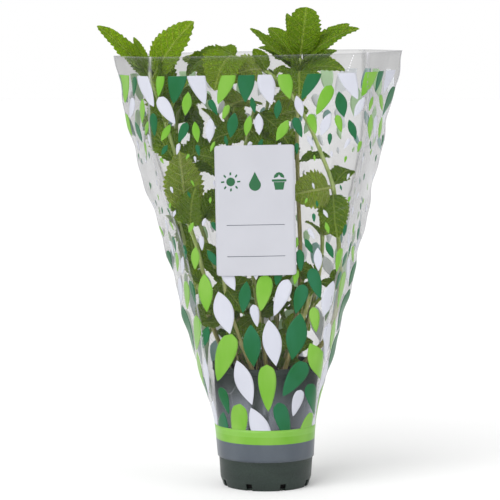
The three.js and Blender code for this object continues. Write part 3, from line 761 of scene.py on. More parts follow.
def depth_share(s, height):
    """The depth at a share s of the half width, as a share of the half depth."""
    out = np.minimum(np.abs(s), 1)
    corner, sharp = along("corner", height), along("sharpness", height)
    panel = 1 - PANEL_BULGE * out * out
    side = np.maximum(1 - out, 1e-6) / (1 - corner) * (1 - PANEL_BULGE * corner * corner)
    panelled = (panel ** -sharp + side ** -sharp) ** (-1 / sharp)
    ring = np.sqrt(1 - out * out)
    return ring + (panelled - ring) * ease(ROUND_UP_TO, PANELLED_FROM, height)


def film_depth(x, height):
    """How far the film's outer face stands in front of the sleeve's middle plane."""
    s = (x - along("middle", height)) / along("half_width", height)
    return along("half_depth", height) * depth_share(s, height)


# %% [markdown]
# ## A map of the film
#
# Print lies flat on the film before the sleeve is made, so its places are given as a distance
# round from the front's middle line and a height. A table of every row gives the film's place and
# outward direction for such a pair, and two readings between the rows' entries are mixed.

# %% The film's table
FINE_STEPS = 1201


def film_rows():
    """For each row: points round the front half, the outward directions, and the half's length."""
    heights = np.arange(SLEEVE["foot"], SLEEVE["top"] + 0.01, SLEEVE["row"])
    heights[-1] = SLEEVE["top"]
    count = SLEEVE["columns"]
    shares = np.linspace(-1, 1, count + 1)
    places, outward, halves, corners = [], [], [], []
    for height in heights:
        angle = np.linspace(math.pi, 0, FINE_STEPS)
        s = np.cos(angle)
        half_width = along("half_width", height) - SLEEVE["film"] / 2
        half_depth = along("half_depth", height) - SLEEVE["film"] / 2
        lean = SLEEVE["tilt"] * ease(POT["height"], SLEEVE["top"], height)
        line = np.stack([along("middle", height) + half_width * s,
                         -half_depth * depth_share(s, height), height + lean * half_width * s], 1)
        run = np.concatenate([[0], np.cumsum(np.linalg.norm(np.diff(line[:, :2], axis=0), axis=1))])
        middle = np.interp(0, s, run)
        reach = np.where(run < middle, middle, run[-1] - middle)
        share = (run - middle) / np.maximum(reach, 1e-9)
        even = np.stack([np.interp(shares, share, line[:, k]) for k in range(3)], 1)
        step = np.gradient(even, axis=0)
        out = np.stack([step[:, 1], -step[:, 0], np.zeros(count + 1)], 1)
        out[0], out[-1] = (-1, 0, 0), (1, 0, 0)
        out /= np.linalg.norm(out, axis=1, keepdims=True)
        places.append(even)
        outward.append(out)
        halves.append(run[-1] / 2)
        corners.append(np.interp(along("corner", height), s, share))
    return heights, np.array(places), np.array(outward), np.array(halves), np.array(corners)


HEIGHTS, PLACES, OUTWARD, HALVES, CORNERS = film_rows()
print("film rows:", len(HEIGHTS), "half round at foot and top, mm:", HALVES[[0, -1]].round(1))

# %% [markdown]
# ## Creases, folds and waves
#
# Thin film never hangs quite true. Soft upright waves run through the panels and grow towards the
# free mouth, the side seams wander a little, and a hard fold runs up each panel's corner, where
# the sleeve lay flat in its pack. Folds stand out slightly, and a painted highlight runs along them.

# %% How the film departs from its smooth shape
WAVES = {"low": 0.15, "high": 0.65, "grow": (110, 360), "back": 2.3}
# A swell: its size, its waves round and up the panel, its start, and how far the back is out of step
SWELLS = [(1, 9, 0.021, 0, 1), (0.6, 17, -0.033, 2, 1), (0.4, 5, 0.09, 0, 2)]
SEAM = {"wander": 1.5, "near": (0.86, 1), "grow": (60, 140), "slow": 0.11, "quick": 0.237, "apart": 1.7}
FOLD = {"height": 0.6, "grow": (90, 130), "width": 0.016, "glint": 0.009}


def film_wave(share, height, back):
    """Millimetres outwards, for a share round the half and a height."""
    phase = WAVES["back"] if back else 0.0
    size = WAVES["low"] + (WAVES["high"] - WAVES["low"]) * ease(*WAVES["grow"], height)
    swell = sum(part * np.sin(round_it * share + up * height + start + turns * phase)
                for part, round_it, up, start, turns in SWELLS)
    seam = ease(*SEAM["near"], np.abs(share))
    wander = SEAM["wander"] * ease(*SEAM["grow"], height) * (
        np.sin(SEAM["slow"] * height + SEAM["apart"] * np.sign(share))
        + 0.5 * np.sin(SEAM["quick"] * height + share))
    fold = FOLD["height"] * ease(*FOLD["grow"], height) * fold_mark(share, height, FOLD["width"])
    return (1 - seam) * size * (swell / 2 - 1) + seam * wander / 1.5 + fold


def fold_mark(share, height, width):
    corner = np.interp(height, HEIGHTS, CORNERS)
    return np.exp(-((np.abs(share) - corner) / width) ** 2)


def film_point(arc, height, lift, back=False):
    """Places on the film: arc millimetres round from the panel's middle line, at a height."""
    arc, height = np.asarray(arc, float), np.asarray(height, float)
    share = np.clip(arc / np.interp(height, HEIGHTS, HALVES), -1, 1)
    return film_at_share(share, height, lift, back)


def film_at_share(share, height, lift, back=False):
    """Places on the film for shares round the half and heights, lifted off its smooth shape."""
    row = np.clip(np.interp(height, HEIGHTS, np.arange(len(HEIGHTS))), 0, len(HEIGHTS) - 1.001)
    column = np.clip((share + 1) / 2 * SLEEVE["columns"], 0, SLEEVE["columns"] - 0.001)
    j, i = row.astype(int), column.astype(int)
    v, u = (row - j)[..., None], (column - i)[..., None]

    def read(table):
        return ((1 - v) * ((1 - u) * table[j, i] + u * table[j, i + 1])
                + v * ((1 - u) * table[j + 1, i] + u * table[j + 1, i + 1]))
    out = read(OUTWARD)
    out = out / np.linalg.norm(out, axis=-1, keepdims=True)
    place = read(PLACES) + out * (lift + film_wave(share, height, back))[..., None]
    if back:
        place = place * np.array([1, -1, 1])
    return place


# %% [markdown]
# ## The film
#
# The film itself is one sheet, since the real one is thinner than a hair: rows of points from the
# hem to the mouth, front and back, joined at the side seams. Each point carries a mark for the
# painted highlight along the folds, seams, mouth and hem, and a mark for the haze and painted
# reflection where the film lies round the pot.

# %% The film sheet
FILM_SHEET = {"columns": 150, "row": 2.9, "crowded": 0.35, "even": 0.65}
# Where and how strongly the painted highlight shows along the folds, seams, mouth and hem
PAINTED_GLINTS = {"fold": 0.8, "folds_in": (95, 125), "seam": 0.7, "seam_in": (0.985, 1),
          "mouth": 0.35, "mouth_in": (363.5, 366), "hem": 0.3, "hem_out": (25, 27.5)}
# Where and how strongly the film round the pot is painted paler, as haze and painted reflection
HAZE_AND_REFLECTION = {"in": (50, 54), "out": (70, 98), "level": 0.7, "ripple": 0.3, "ripples": 7}


def film_round(shares, height, lift=0.0):
    """Points right round the film at one height: the front, then the back the other way."""
    level = np.full(len(shares), height)
    front = film_at_share(shares, level, lift)
    rear = film_at_share(shares[::-1][1:-1], level[1:-1], lift, back=True)
    return front.tolist() + rear.tolist()


def painted_glint_marks(shares, height):
    """Painted highlight along the folds, the side seams, the mouth and the hem."""
    level = np.full(len(shares), height)
    glinting = PAINTED_GLINTS["fold"] * fold_mark(shares, level, FOLD["glint"])
    glinting = glinting * ease(*PAINTED_GLINTS["folds_in"], height)
    seam = PAINTED_GLINTS["seam"] * ease(*PAINTED_GLINTS["seam_in"], np.abs(shares))
    mouth = PAINTED_GLINTS["mouth"] * ease(*PAINTED_GLINTS["mouth_in"], height)
    rim = mouth + PAINTED_GLINTS["hem"] * (1 - ease(*PAINTED_GLINTS["hem_out"], height))
    return np.clip(np.maximum(glinting, seam) + rim, 0, 1).tolist()


def haze_and_reflection_marks(shares, height):
    """Haze and painted reflection where the film clings to the pot."""
    clinging = ease(*HAZE_AND_REFLECTION["in"], height) * (1 - ease(*HAZE_AND_REFLECTION["out"], height))
    uneven = HAZE_AND_REFLECTION["level"] + HAZE_AND_REFLECTION["ripple"] * np.cos(HAZE_AND_REFLECTION["ripples"] * shares + 1)
    return (clinging * uneven).tolist()


def make_film():
    heights = np.arange(SLEEVE["foot"], SLEEVE["top"], FILM_SHEET["row"])
    heights = np.concatenate([heights, [SLEEVE["top"]]])
    count = FILM_SHEET["columns"]
    shares = np.sin(np.linspace(-math.pi / 2, math.pi / 2, count + 1))
    shares = FILM_SHEET["crowded"] * shares + FILM_SHEET["even"] * np.linspace(-1, 1, count + 1)
    all_round = np.concatenate([shares, shares[::-1][1:-1]])
    points, marks, reflection_hazes = [], [], []
    for height in heights:
        points += film_round(shares, height)
        marks += painted_glint_marks(all_round, height)
        reflection_hazes += haze_and_reflection_marks(all_round, height)
    faces = grid_faces(len(heights), 2 * count, close=True)
    film = make_piece("film_sleeve", points, faces, [CLEAR_FILM])
    point_value(film, "painted_glint", marks)
    point_value(film, "haze_and_reflection", reflection_hazes)
    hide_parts("sleeve")
    return film


tell(make_film())

# %% [markdown]
# ## Print on the film
#
# A printed shape is a thin patch that wraps the film, with ink outside and its paler back inside.
# A patch is made by scan lines: at each height of its outline, the left and right edge are found
# and a row of points is laid between them. That keeps every outline crisp, follows the folds of
# the film, and lets a straight line cut a shape off.

# %% A patch from an outline
INK_LIFT = 0.14
BOTH_FACES = (-INK_LIFT, INK_LIFT)
HAIR = 1e-4


def scan_lines(outline, step, lowest=-math.inf, highest=math.inf):
    """Rows (left, right, height) across a convex outline of (across, height) points."""
    outline = np.asarray(outline, float)
    low, high = max(outline[:, 1].min(), lowest), min(outline[:, 1].max(), highest)
    count = max(5, int((high - low) / step) + 1)
    ends = np.roll(outline, -1, axis=0)
    rows = []
    for height in low + (high - low) * (1 - np.cos(np.linspace(0, math.pi, count))) / 2:
        level = np.clip(height, outline[:, 1].min() + HAIR, outline[:, 1].max() - HAIR)
        crosses = []
        for (x0, z0), (x1, z1) in zip(outline, ends):
            if (z0 - level) * (z1 - level) <= 0 and z0 != z1:
                crosses.append(x0 + (x1 - x0) * (level - z0) / (z1 - z0))
        rows.append((min(crosses), max(crosses), height))
    return rows


class Patches:
    """Collects patches into one mesh: outside faces in slot 0, inside faces in slot 1."""

    def __init__(self):
        self.points, self.faces, self.slots = [], [], []

    def add(self, rows, place, lifts, step):
        """Adds a patch with an inner and an outer face, which are joined round its rim."""
        widest = max(right - left for left, right, _ in rows)
        columns = max(3, int(widest / step) + 2)
        across = np.linspace(0, 1, columns)
        left, right, height = (np.array(values)[:, None] for values in zip(*rows))
        u = left + (right - left) * across
        w = np.broadcast_to(height, u.shape)
        first = len(self.points)
        count = len(rows) * columns
        for lift in lifts:
            self.points += place(u.ravel(), w.ravel(), lift).tolist()
        self.faces += grid_faces(len(rows), columns, first=first, flip=True)
        inner = len(self.faces)
        self.slots += [1] * (inner - len(self.slots))
        self.faces += grid_faces(len(rows), columns, first=first + count)
        rim = rim_of(len(rows), columns)
        for a, b in zip(rim, rim[1:] + rim[:1]):
            self.faces.append((first + a, first + b, first + count + b, first + count + a))
        self.slots += [0] * (len(self.faces) - len(self.slots))

    def make(self, name, materials, slot):
        piece = make_piece(name, self.points, self.faces, materials, self.slots)
        piece.data.validate()
        return piece


# %% [markdown]
# ## The print's layout
#
# The print is a plain scatter of leaf shapes in three colours: large ones stand on the bands and
# shrink upwards, and others hang from a line under the mouth and shrink downwards. They are laid
# in staggered rows, each shape moved and turned a little by seeded draws, and drawn again, smaller,
# while it would touch an earlier one, so the scatter is dense and never overlaps.

# %% Leaf shapes of the print
PRINT_LINE = 350.0
BAND_TOP = 52.5
PRINT_COLOURS = ("dark", "light", "white")
PRINT = {"step": 2.2, "small": 14, "lower_from": BAND_TOP + 2, "lower_top": 262,
         "upper_from": PRINT_LINE - 6, "upper_foot": 276, "reach": 0.985, "turn": 0.6, "blunt": 0.6,
         "head": 0.15, "vary": (0.88, 1.08), "mix": (0.8, 1.2), "stray": 0.14, "loose_stray": 0.4,
         "loose_row": 0.7, "draws": [1, 1, 1, 0.92, 0.92, 0.84, 0.76, 0.66, 0.56]}
LOWER = {"long": 40, "short": 5.5, "shrink": (120, 250), "apart": 0.46, "row": 0.47, "room": 0.6,
         "loose": 15, "slim": (0.37, 0.46), "fill": 500}
UPPER = {"long": 34, "short": 5.5, "shrink": (276, 336), "apart": 0.5, "row": 0.58, "room": 1.3,
         "loose": 12, "slim": (0.36, 0.46), "fill": 150}
FILL_SIZE = (0.42, 0.72)
PRINT_SEEDS = {"front": 21, "back": 34}
OUTLINE_POINTS = 17
BLUNT_LEAF = (0.62, 0.72)
POINTED_LEAF = (0.9, 0.95)


def print_leaf(length, width, turn, blunt):
    """A convex leaf outline about its middle: pointed below, round or pointed above."""
    t = np.linspace(0, 1, OUTLINE_POINTS)
    skew, fullness = BLUNT_LEAF if blunt else POINTED_LEAF
    half = width / 2 * np.sin(math.pi * t ** skew) ** fullness
    y = (t - 0.5) * length
    side = np.concatenate([np.stack([half, -y], 1), np.stack([-half, -y], 1)[::-1][1:-1]])
    c, s = math.cos(turn), math.sin(turn)
    return side @ np.array([[c, s], [-s, c]])


print("outline points of a printed leaf:", len(print_leaf(40, 16, 0, True)))

# %% Room for the leaves of the print
# Five discs stand for a printed leaf: shares of its length along it, and of its width as radius
LEAF_DISCS = ((-0.36, 0.3), (-0.18, 0.47), (0, 0.5), (0.2, 0.4), (0.38, 0.18))
FAR_OFF = 1000.0


def leaf_marks(arc, height, length, width, turn):
    """The discs along a printed leaf: (across, height, radius)."""
    way = (math.sin(turn), -math.cos(turn))
    return np.array([(arc + way[0] * length * k, height + way[1] * length * k, width * r)
                     for k, r in LEAF_DISCS])


class Layout:
    """The leaves of one panel, each with the discs that stand for it."""

    def __init__(self):
        self.leaves, self.discs = [], np.zeros((0, 3))

    def place(self, zone, draw, arc, height, length):
        """Adds a leaf where it is clear of the earlier ones, and tells whether it was."""
        turn, slim = draw.uniform(-PRINT["turn"], PRINT["turn"]), draw.uniform(*zone["slim"])
        marks = leaf_marks(arc, height, length, slim * length, turn)
        gaps = np.hypot(marks[:, None, 0] - self.discs[:, 0], marks[:, None, 1] - self.discs[:, 1])
        clear = (gaps > marks[:, None, 2] + self.discs[:, 2] + zone["room"]).all()
        if clear and height + PRINT["head"] * length < PRINT_LINE:
            self.discs = np.concatenate([self.discs, marks])
            blunt = draw.uniform() < PRINT["blunt"]
            self.leaves.append((arc, height, length, slim * length, turn, blunt))
            return True
        return False


# %% Rows of the print
def usual_length(zone, height):
    """The length of a printed leaf at a height: the zones shrink towards the clear middle."""
    low, high = zone["shrink"]
    share = ease(low, high, height)
    if zone is LOWER:
        share = 1 - share
    return zone["short"] + (zone["long"] - zone["short"]) * float(share)


def looseness(zone, usual):
    """Millimetres of room that are added round the small leaves, which stand loosely."""
    return zone["loose"] * (1 - (usual - zone["short"]) / (zone["long"] - zone["short"])) ** 2


def row_heights(zone):
    """Heights of the rows, each a share of a leaf's length on from the last."""
    if zone is LOWER:
        height, end, way = PRINT["lower_from"], PRINT["lower_top"], 1
    else:
        height, end, way = PRINT["upper_from"], PRINT["upper_foot"], -1
    heights = []
    while way * (end - height) > 0:
        heights.append(height)
        usual = usual_length(zone, height)
        height += way * (zone["row"] * usual + PRINT["loose_row"] * looseness(zone, usual))
    return heights


def half_reach(height):
    """How far round from the middle line a printed leaf may sit."""
    return PRINT["reach"] * np.interp(height, HEIGHTS, HALVES)


def lay_row(layout, zone, draw, row, middle):
    """One staggered row, each leaf the first of its draws that has room."""
    usual, reach = usual_length(zone, middle), half_reach(middle)
    loose = looseness(zone, usual)
    count = int(2 * reach / (zone["apart"] * usual + loose))
    stray = PRINT["stray"] * usual + PRINT["loose_stray"] * loose
    for place in range(count):
        site = -reach + 2 * reach * (place + 0.25 + 0.5 * (row % 2)) / count
        for share in PRINT["draws"]:
            length = usual * share * draw.uniform(*PRINT["vary"])
            arc = site + stray * draw.uniform(-1, 1)
            height = middle + stray * draw.uniform(-1, 1)
            if abs(arc) < reach and layout.place(zone, draw, arc, height, length):
                break


print("rows of the print:", [len(row_heights(zone)) for zone in (LOWER, UPPER)])

# %% The scatter of one panel
def scatter(seed):
    """Leaves of one panel: (across, height, length, width, turn, blunt, colour)."""
    draw = np.random.default_rng(seed)
    layout = Layout()
    for zone in (LOWER, UPPER):
        heights = row_heights(zone)
        for row, middle in enumerate(heights):
            lay_row(layout, zone, draw, row, middle)
        for _ in range(zone["fill"]):
            height = draw.uniform(*sorted((heights[0], heights[len(heights) // 2])))
            reach = half_reach(height)
            length = usual_length(zone, height) * draw.uniform(*FILL_SIZE)
            layout.place(zone, draw, draw.uniform(-reach, reach), height, length)
    return [leaf + (colour,) for leaf, colour in zip(layout.leaves, mixed_colours(layout.leaves, draw))]


def mixed_colours(leaves, draw):
    """A colour for each leaf, so that the nearest leaf of the same colour is far away."""
    places = np.array([(leaf[0], leaf[1]) for leaf in leaves])
    chosen = []
    for k, place in enumerate(places):
        gaps = np.hypot(*(places[:k] - place).T)
        nearest = {name: min([gap for gap, one in zip(gaps, chosen) if one == name] + [FAR_OFF])
                   for name in PRINT_COLOURS}
        chosen.append(max(PRINT_COLOURS, key=lambda name: nearest[name] * draw.uniform(*PRINT["mix"])))
    return chosen


# %% The printed panels
def make_print(name, seed, back):
    """The three colours of one panel, each a mesh of its own."""
    leaves = scatter(seed)
    sheets = {colour: Patches() for colour in PRINT_COLOURS}
    for arc, height, length, width, turn, blunt, colour in leaves:
        outline = print_leaf(length, width, turn, blunt) + np.array([arc, height])
        step = PRINT["step"] if length > PRINT["small"] else length / 5
        rows = scan_lines(outline, step, BAND_TOP, PRINT_LINE)
        sheets[colour].add(rows, lambda u, w, lift: film_point(u, w, lift, back), BOTH_FACES, step)
    for colour, sheet in sheets.items():
        if back:
            sheet.faces = [tuple(reversed(face)) for face in sheet.faces]
        piece = sheet.make(f"{name}_{colour}", list(INKS[colour]), "film")
        tell(piece)
    return len(leaves)


print("front leaves:", make_print("print_front", PRINT_SEEDS["front"], False))
print("back leaves:", make_print("print_back", PRINT_SEEDS["back"], True))

# %% [markdown]
# ## The bands round the foot
#
# Bands close the print: two tones of green above grey, down to the hem. They are one strip right
# round the sleeve with an outer and an inner face, and each row of its faces takes a band's ink.

# %% The bands
BANDS = [("grey", 25.1, 40.4), ("light", 40.4, 46.8), ("pale", 46.8, BAND_TOP + 0.2)]
BAND_ROW = 3.0
BAND_COLUMNS = 120


def band_rows():
    """Heights of the strip's rows, and which band each row of faces belongs to."""
    heights, bands = [BANDS[0][1]], []
    for number, (_, low, high) in enumerate(BANDS):
        count = math.ceil((high - low) / BAND_ROW)
        heights += [low + (high - low) * (k + 1) / count for k in range(count)]
        bands += [number] * count
    return heights, bands


def make_bands():
    heights, bands = band_rows()
    shares = np.linspace(-1, 1, BAND_COLUMNS + 1)
    columns = 2 * BAND_COLUMNS
    points = []
    for lift, rows in ((INK_LIFT, heights), (-INK_LIFT, heights[::-1])):
        for height in rows:
            points += film_round(shares, height, lift)
    faces = grid_faces(2 * len(heights), columns, close=True)
    last = (2 * len(heights) - 1) * columns
    faces += [(last + i, last + (i + 1) % columns, (i + 1) % columns, i) for i in range(columns)]
    inside = len(BANDS)
    order = bands + [inside + bands[-1]] + [inside + number for number in bands[::-1]] + [inside]
    slots = [slot for slot in order for _ in range(columns)]
    materials = [INKS[colour][side] for side in (0, 1) for colour, _, _ in BANDS]
    strip = make_piece("print_bands", points, faces, materials, slots)
    return strip


tell(make_bands())

# %% [markdown]
# ## The tear line
#
# By the mouth's right corner a short row of punched holes shows where the sleeve is torn open. A
# hole in film this thin is seen only by its raised lip, which is white with light, so each hole is
# made as a small white disc on the front panel, a painted highlight.

# %% The punched holes
TEAR = {"top": (78.5, 364.0), "foot": (74.0, 352.0), "holes": 7, "radius": 0.5, "sides": 8}


def disc(radius, middle, sides):
    return [(middle[0] + x, middle[1] + y) for x, y, _ in ring_points(radius, 0, sides)]


def make_tear_line():
    holes = Patches()
    for share in np.linspace(0, 1, TEAR["holes"]):
        middle = [a + (b - a) * share for a, b in zip(TEAR["top"], TEAR["foot"])]
        rows = scan_lines(disc(TEAR["radius"], middle, TEAR["sides"]), 0.3)
        holes.add(rows, film_point, BOTH_FACES, TEAR["radius"])
    return holes.make("tear_line", [LIP_PAINTED_GLINT, LIP_PAINTED_GLINT], "film")


tell(make_tear_line())

# %% [markdown]
# ## The label
#
# The label is a card with rounded corners that follows the bowed front of the sleeve. What it
# carries is generic: a sun, a drop and a pot as small signs for light, water and care, and two
# thin grey rules. Each sign is a thin patch of ink on the card, made like the film's print.

# %% The label
LABEL = {"width": 66.0, "height": 108.0, "middle": (-9.0, 238.0), "tilt": 0.019, "sheet": 0.6,
         "corner": 2.4, "step": 3.0}
CORNER_STEPS = 6


def label_place(u, v, lift):
    """A place on the label: u across and v up from its middle, lifted off the film."""
    x = LABEL["middle"][0] + u - v * LABEL["tilt"]
    z = LABEL["middle"][1] + v + u * LABEL["tilt"]
    return np.stack([x, -film_depth(x, z) - lift, z], -1)


def rounded_box(width, height, corner, middle=(0, 0)):
    """The outline of a box with rounded corners."""
    points = []
    for cx, cy, start in ((1, 1, 0), (-1, 1, 1), (-1, -1, 2), (1, -1, 3)):
        for k in range(CORNER_STEPS + 1):
            angle = (start + k / CORNER_STEPS) * math.pi / 2
            points.append((middle[0] + cx * (width / 2 - corner) + corner * math.cos(angle),
                           middle[1] + cy * (height / 2 - corner) + corner * math.sin(angle)))
    return points


def make_label():
    card = Patches()
    rows = scan_lines(rounded_box(LABEL["width"], LABEL["height"], LABEL["corner"]), LABEL["step"])
    card.add(rows, label_place, (GAP, GAP + LABEL["sheet"]), LABEL["step"])
    card.slots = [0] * len(card.faces)
    sheet = card.make("label_sheet", [LABEL_CARD], "label_card")
    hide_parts("label")
    return sheet


tell(make_label())

# %% The signs on the label
SIGNS = {"sun": (-20, 24), "drop": (0, 24), "pot": (20, 24), "size": 8.0, "sunk": 0.05, "proud": 0.08}
# All but the counts and turns are shares of a sign's size
SUN_SIGN = {"disc": 0.46, "sides": 28, "rays": 8, "turn": 0.02, "ray": (0.66, 1), "half": 0.09}
DROP_SIGN = {"bowl": 0.62, "low": 0.35, "open": 0.22, "points": 25}
POT_SIGN = {"foot": (0.42, 0.9), "top": (0.58, 0.1), "lip": (1.5, 0.24, 0.05), "lip_up": 0.06,
            "blade": (0.85, 0.4), "turn": 0.75, "aside": 0.36, "up": 0.62}
RULES = {"heights": (-12, -38), "width": 48, "height": 0.5, "corner": 0.1}


def bar(start, end, half):
    start, end = np.array(start, float), np.array(end, float)
    way = (end - start) / np.linalg.norm(end - start)
    out = np.array([-way[1], way[0]]) * half
    return [start + out, start - out, end - out, end + out]


def sun_sign():
    size, middle = SIGNS["size"], np.array(SIGNS["sun"], float)
    near, far = (share * size for share in SUN_SIGN["ray"])
    shapes = [disc(SUN_SIGN["disc"] * size, middle, SUN_SIGN["sides"])]
    for k in range(SUN_SIGN["rays"]):
        angle = k * 2 * math.pi / SUN_SIGN["rays"] + SUN_SIGN["turn"]
        way = np.array([math.cos(angle), math.sin(angle)])
        shapes.append(bar(middle + way * near, middle + way * far, SUN_SIGN["half"] * size))
    return shapes


def drop_sign():
    size, (x, y) = SIGNS["size"], SIGNS["drop"]
    bowl, low = DROP_SIGN["bowl"] * size, y - DROP_SIGN["low"] * size
    ends = (-DROP_SIGN["open"] * math.pi, (1 + DROP_SIGN["open"]) * math.pi)
    round_it = [(x - bowl * math.cos(a), low - bowl * math.sin(a))
                for a in np.linspace(*ends, DROP_SIGN["points"])]
    return [[(x, y + size)] + round_it]


def pot_sign():
    size, (x, y) = SIGNS["size"], SIGNS["pot"]
    foot, down = (share * size for share in POT_SIGN["foot"])
    top, up = (share * size for share in POT_SIGN["top"])
    shapes = [[(x - foot, y - down), (x + foot, y - down), (x + top, y - up), (x - top, y - up)]]
    lip = [share * size for share in POT_SIGN["lip"]]
    shapes.append(rounded_box(*lip, (x, y + POT_SIGN["lip_up"] * size)))
    length, width = (share * size for share in POT_SIGN["blade"])
    for turn in (math.pi - POT_SIGN["turn"], math.pi + POT_SIGN["turn"]):
        middle = (x - math.sin(turn) * POT_SIGN["aside"] * size, y + POT_SIGN["up"] * size)
        shapes.append(print_leaf(length, width, turn, False) + np.array(middle))
    return shapes


def make_signs():
    signs = Patches()
    face = GAP + LABEL["sheet"]
    lifts = (face - SIGNS["sunk"], face + SIGNS["proud"])
    for shape in sun_sign() + drop_sign() + pot_sign():
        signs.add(scan_lines(shape, 1.0), label_place, lifts, 1.5)
    green_faces = len(signs.faces)
    for height in RULES["heights"]:
        rule = rounded_box(RULES["width"], RULES["height"], RULES["corner"], (0, height))
        signs.add(scan_lines(rule, 0.2), label_place, lifts, 3.0)
    signs.slots = [0] * green_faces + [1] * (len(signs.faces) - green_faces)
    return signs.make("label_signs", [LABEL_INK, INKS["grey"][0]], "label_card")


tell(make_signs())

# %% [markdown]
# ## Where the stems run and the leaves sit
#
# Each stem has a given route, from its foot in the compost to its tip. Some leaves are set one by
# one too, where the plant shows them, and the rest are drawn: pair by pair from the top down, each
# pair turned a quarter against the one before, as mint grows. A drawn leaf is thrown again until it
# is clear of the film, the stems and all other leaves. The same rule and the same seeds made the
# imported stems, so each fine leaf here lies on its plain one.

# %% The stems' routes and set leaves
STEMS = [
    {"route": [(-15, -6, 79), (-15, -6, 97), (-30, -12, 130), (-48, -14, 166), (-58, -14, 204),
               (-66, -14, 229), (-74, -12, 272), (-83, -8, 304), (-98, -2, 350)],
     "pairs": 5, "from": 0.3, "lengths": (38, 54), "turn": 0.4, "seed": 11, "tone": 0.6,
     "set": [
         (348, (-141.5, 4, 389), 18, (0.35, -0.8, 0.6), 2),
         (343, (-61, -16, 393), 31, (-0.3, -0.85, 0.4), 5),
         (349, (-110.5, -8, 379.5), 9, (0.2, -1, 0.1), 1.5),
         (338, (-121, 12, 372), 16, (0.2, -0.7, 0.6), 2),
         (338, (-88, 18, 366), 18, (0, -0.7, 0.6), 2),
         (229, (-72, -33, 285), 34, (0.05, -1, -0.15), -4)]},
    {"route": [(12, -2, 79), (12, -2, 97), (20, 0, 125), (28, 2, 160), (29, 2, 200), (27, 0, 250),
               (26, -2, 300), (27, -4, 335), (28.5, -6, 362)],
     "pairs": 3, "from": 0.25, "lengths": (28, 32), "turn": 1.2, "seed": 23, "tone": 0.22,
     "green": (210, 400),
     "set": [
         (360, (33.5, -12, 404.5), 29, (0, -1, 0.25), 3),
         (357, (76.5, -16, 388), 20, (-0.2, -0.6, 0.8), 5),
         (357, (-12.6, -22, 388), 17, (0.3, -0.55, 0.8), -3),
         (353, (70, 16, 391), 19, (-0.3, -0.7, 0.6), 4),
         (353, (2.5, 16, 387.5), 19, (0.2, -0.8, 0.5), 4),
         (360, (17.5, 4, 399.5), 12, (0.2, -0.9, 0.2), 2),
         (348, (-6, 2, 371.5), 17, (0.2, -0.5, 0.8), 5),
         (346, (65, -28, 353), 21, (0.1, -0.6, 0.8), 7),
         (349, (27, -42, 334), 34, (0, -0.8, 0.6), 9),
         (344, (60, 24, 368), 16, (-0.2, -0.6, 0.8), 5)]},
    {"route": [(27, -8, 79), (27, -8, 97), (37, -12, 111), (53, -14, 131), (62, -14, 170),
               (60.8, -14, 208), (56.5, -13, 252), (47, -14, 280), (34, -17, 310), (16, -18, 338),
               (-3, -14, 353), (-26, -8, 363)],
     "pairs": 2, "from": 0.3, "lengths": (20, 24), "turn": 0.3, "seed": 5, "tone": 0.35,
     "set": [
         (254, (21, -26, 249), 33, (0, -1, 0.2), 4),
         (252, (59, -30, 214), 27, (-0.2, -1, 0.2), 5),
         (254, (72, 6, 268), 22, (-0.4, -0.8, 0.4), 4),
         (352, (-35, -30, 345), 27, (0.2, -0.8, 0.5), 8),
         (362, (-43, -36, 338), 36, (0, -0.6, 0.8), 14),
         (362, (-67, -8, 348), 26, (-0.3, -0.5, 0.8), 10),
         (362, (-48, 22, 364), 18, (0, -0.3, 1), 6)]},
    {"route": [(-4, 9, 79), (-4, 9, 97), (-18, 10, 130), (-37, 8, 170), (-50, 4, 205), (-60, 6, 235),
               (-72, 14, 275), (-76, 18, 305), (-70, 20, 330)],
     "pairs": 6, "from": 0.35, "lengths": (36, 58), "turn": 0.9, "seed": 31, "tone": 0.55, "set": []},
    {"route": [(-22, 17, 79), (-22, 17, 97), (-24, 21, 140), (-24, 24, 190), (-28, 24, 240),
               (-32, 20, 290), (-34, 14, 334)],
     "pairs": 6, "from": 0.25, "lengths": (34, 58), "turn": 0.1, "seed": 47, "tone": 0.4, "set": []},
    {"route": [(1, -19, 79), (1, -19, 97), (-5, -23, 140), (-12, -23, 190), (-18, -20, 240),
               (-18, -14, 285), (-10, -6, 318)],
     "pairs": 5, "from": 0.3, "lengths": (34, 56), "turn": 0.7, "seed": 59, "tone": 0.5, "set": []},
    {"route": [(23, 18, 79), (23, 18, 97), (34, 20, 130), (44, 19, 170), (48, 16, 205), (45, 12, 240)],
     "pairs": 3, "from": 0.4, "lengths": (24, 26), "turn": 0.2, "seed": 71, "tone": 0.35, "set": []},
    {"route": [(-30, -3, 79), (-30, -3, 97), (-43, -3, 130), (-56, -1, 165), (-66, 4, 195),
               (-74, 8, 226)],
     "pairs": 4, "from": 0.35, "lengths": (28, 42), "turn": 1.1, "seed": 83, "tone": 0.45, "set": []},
    {"route": [(-10, -28, 79), (-10, -28, 97), (-22, -32, 128), (-32, -33, 160), (-38, -32, 196)],
     "pairs": 3, "from": 0.4, "lengths": (24, 30), "turn": 0.5, "seed": 97, "tone": 0.3, "set": []},
    {"route": [(15, -26, 79), (15, -26, 97), (22, -31, 124), (33, -34, 152), (41, -32, 184)],
     "pairs": 3, "from": 0.4, "lengths": (22, 26), "turn": 0.2, "seed": 103, "tone": 0.3, "set": []},
    {"route": [(4, 29, 79), (4, 29, 97), (9, 34, 140), (8, 35, 190), (2, 33, 240), (-2, 28, 290),
               (2, 22, 326)],
     "pairs": 5, "from": 0.3, "lengths": (34, 54), "turn": 0.8, "seed": 113, "tone": 0.4, "set": []},
]
STEM_STEP = 24
LEAF = {"stalk": 0.8, "stalk_share": 0.12, "fold": 0.22, "swell": 0.55, "taper": 0.85}
CLEARANCE = {"leaf": 6, "own": 4, "stem": 5, "film": 3.4, "ground": 110}
DRAWS = 24
STRONGER_AFTER = 4
SHRINK = 0.82
SHRINKS = 3
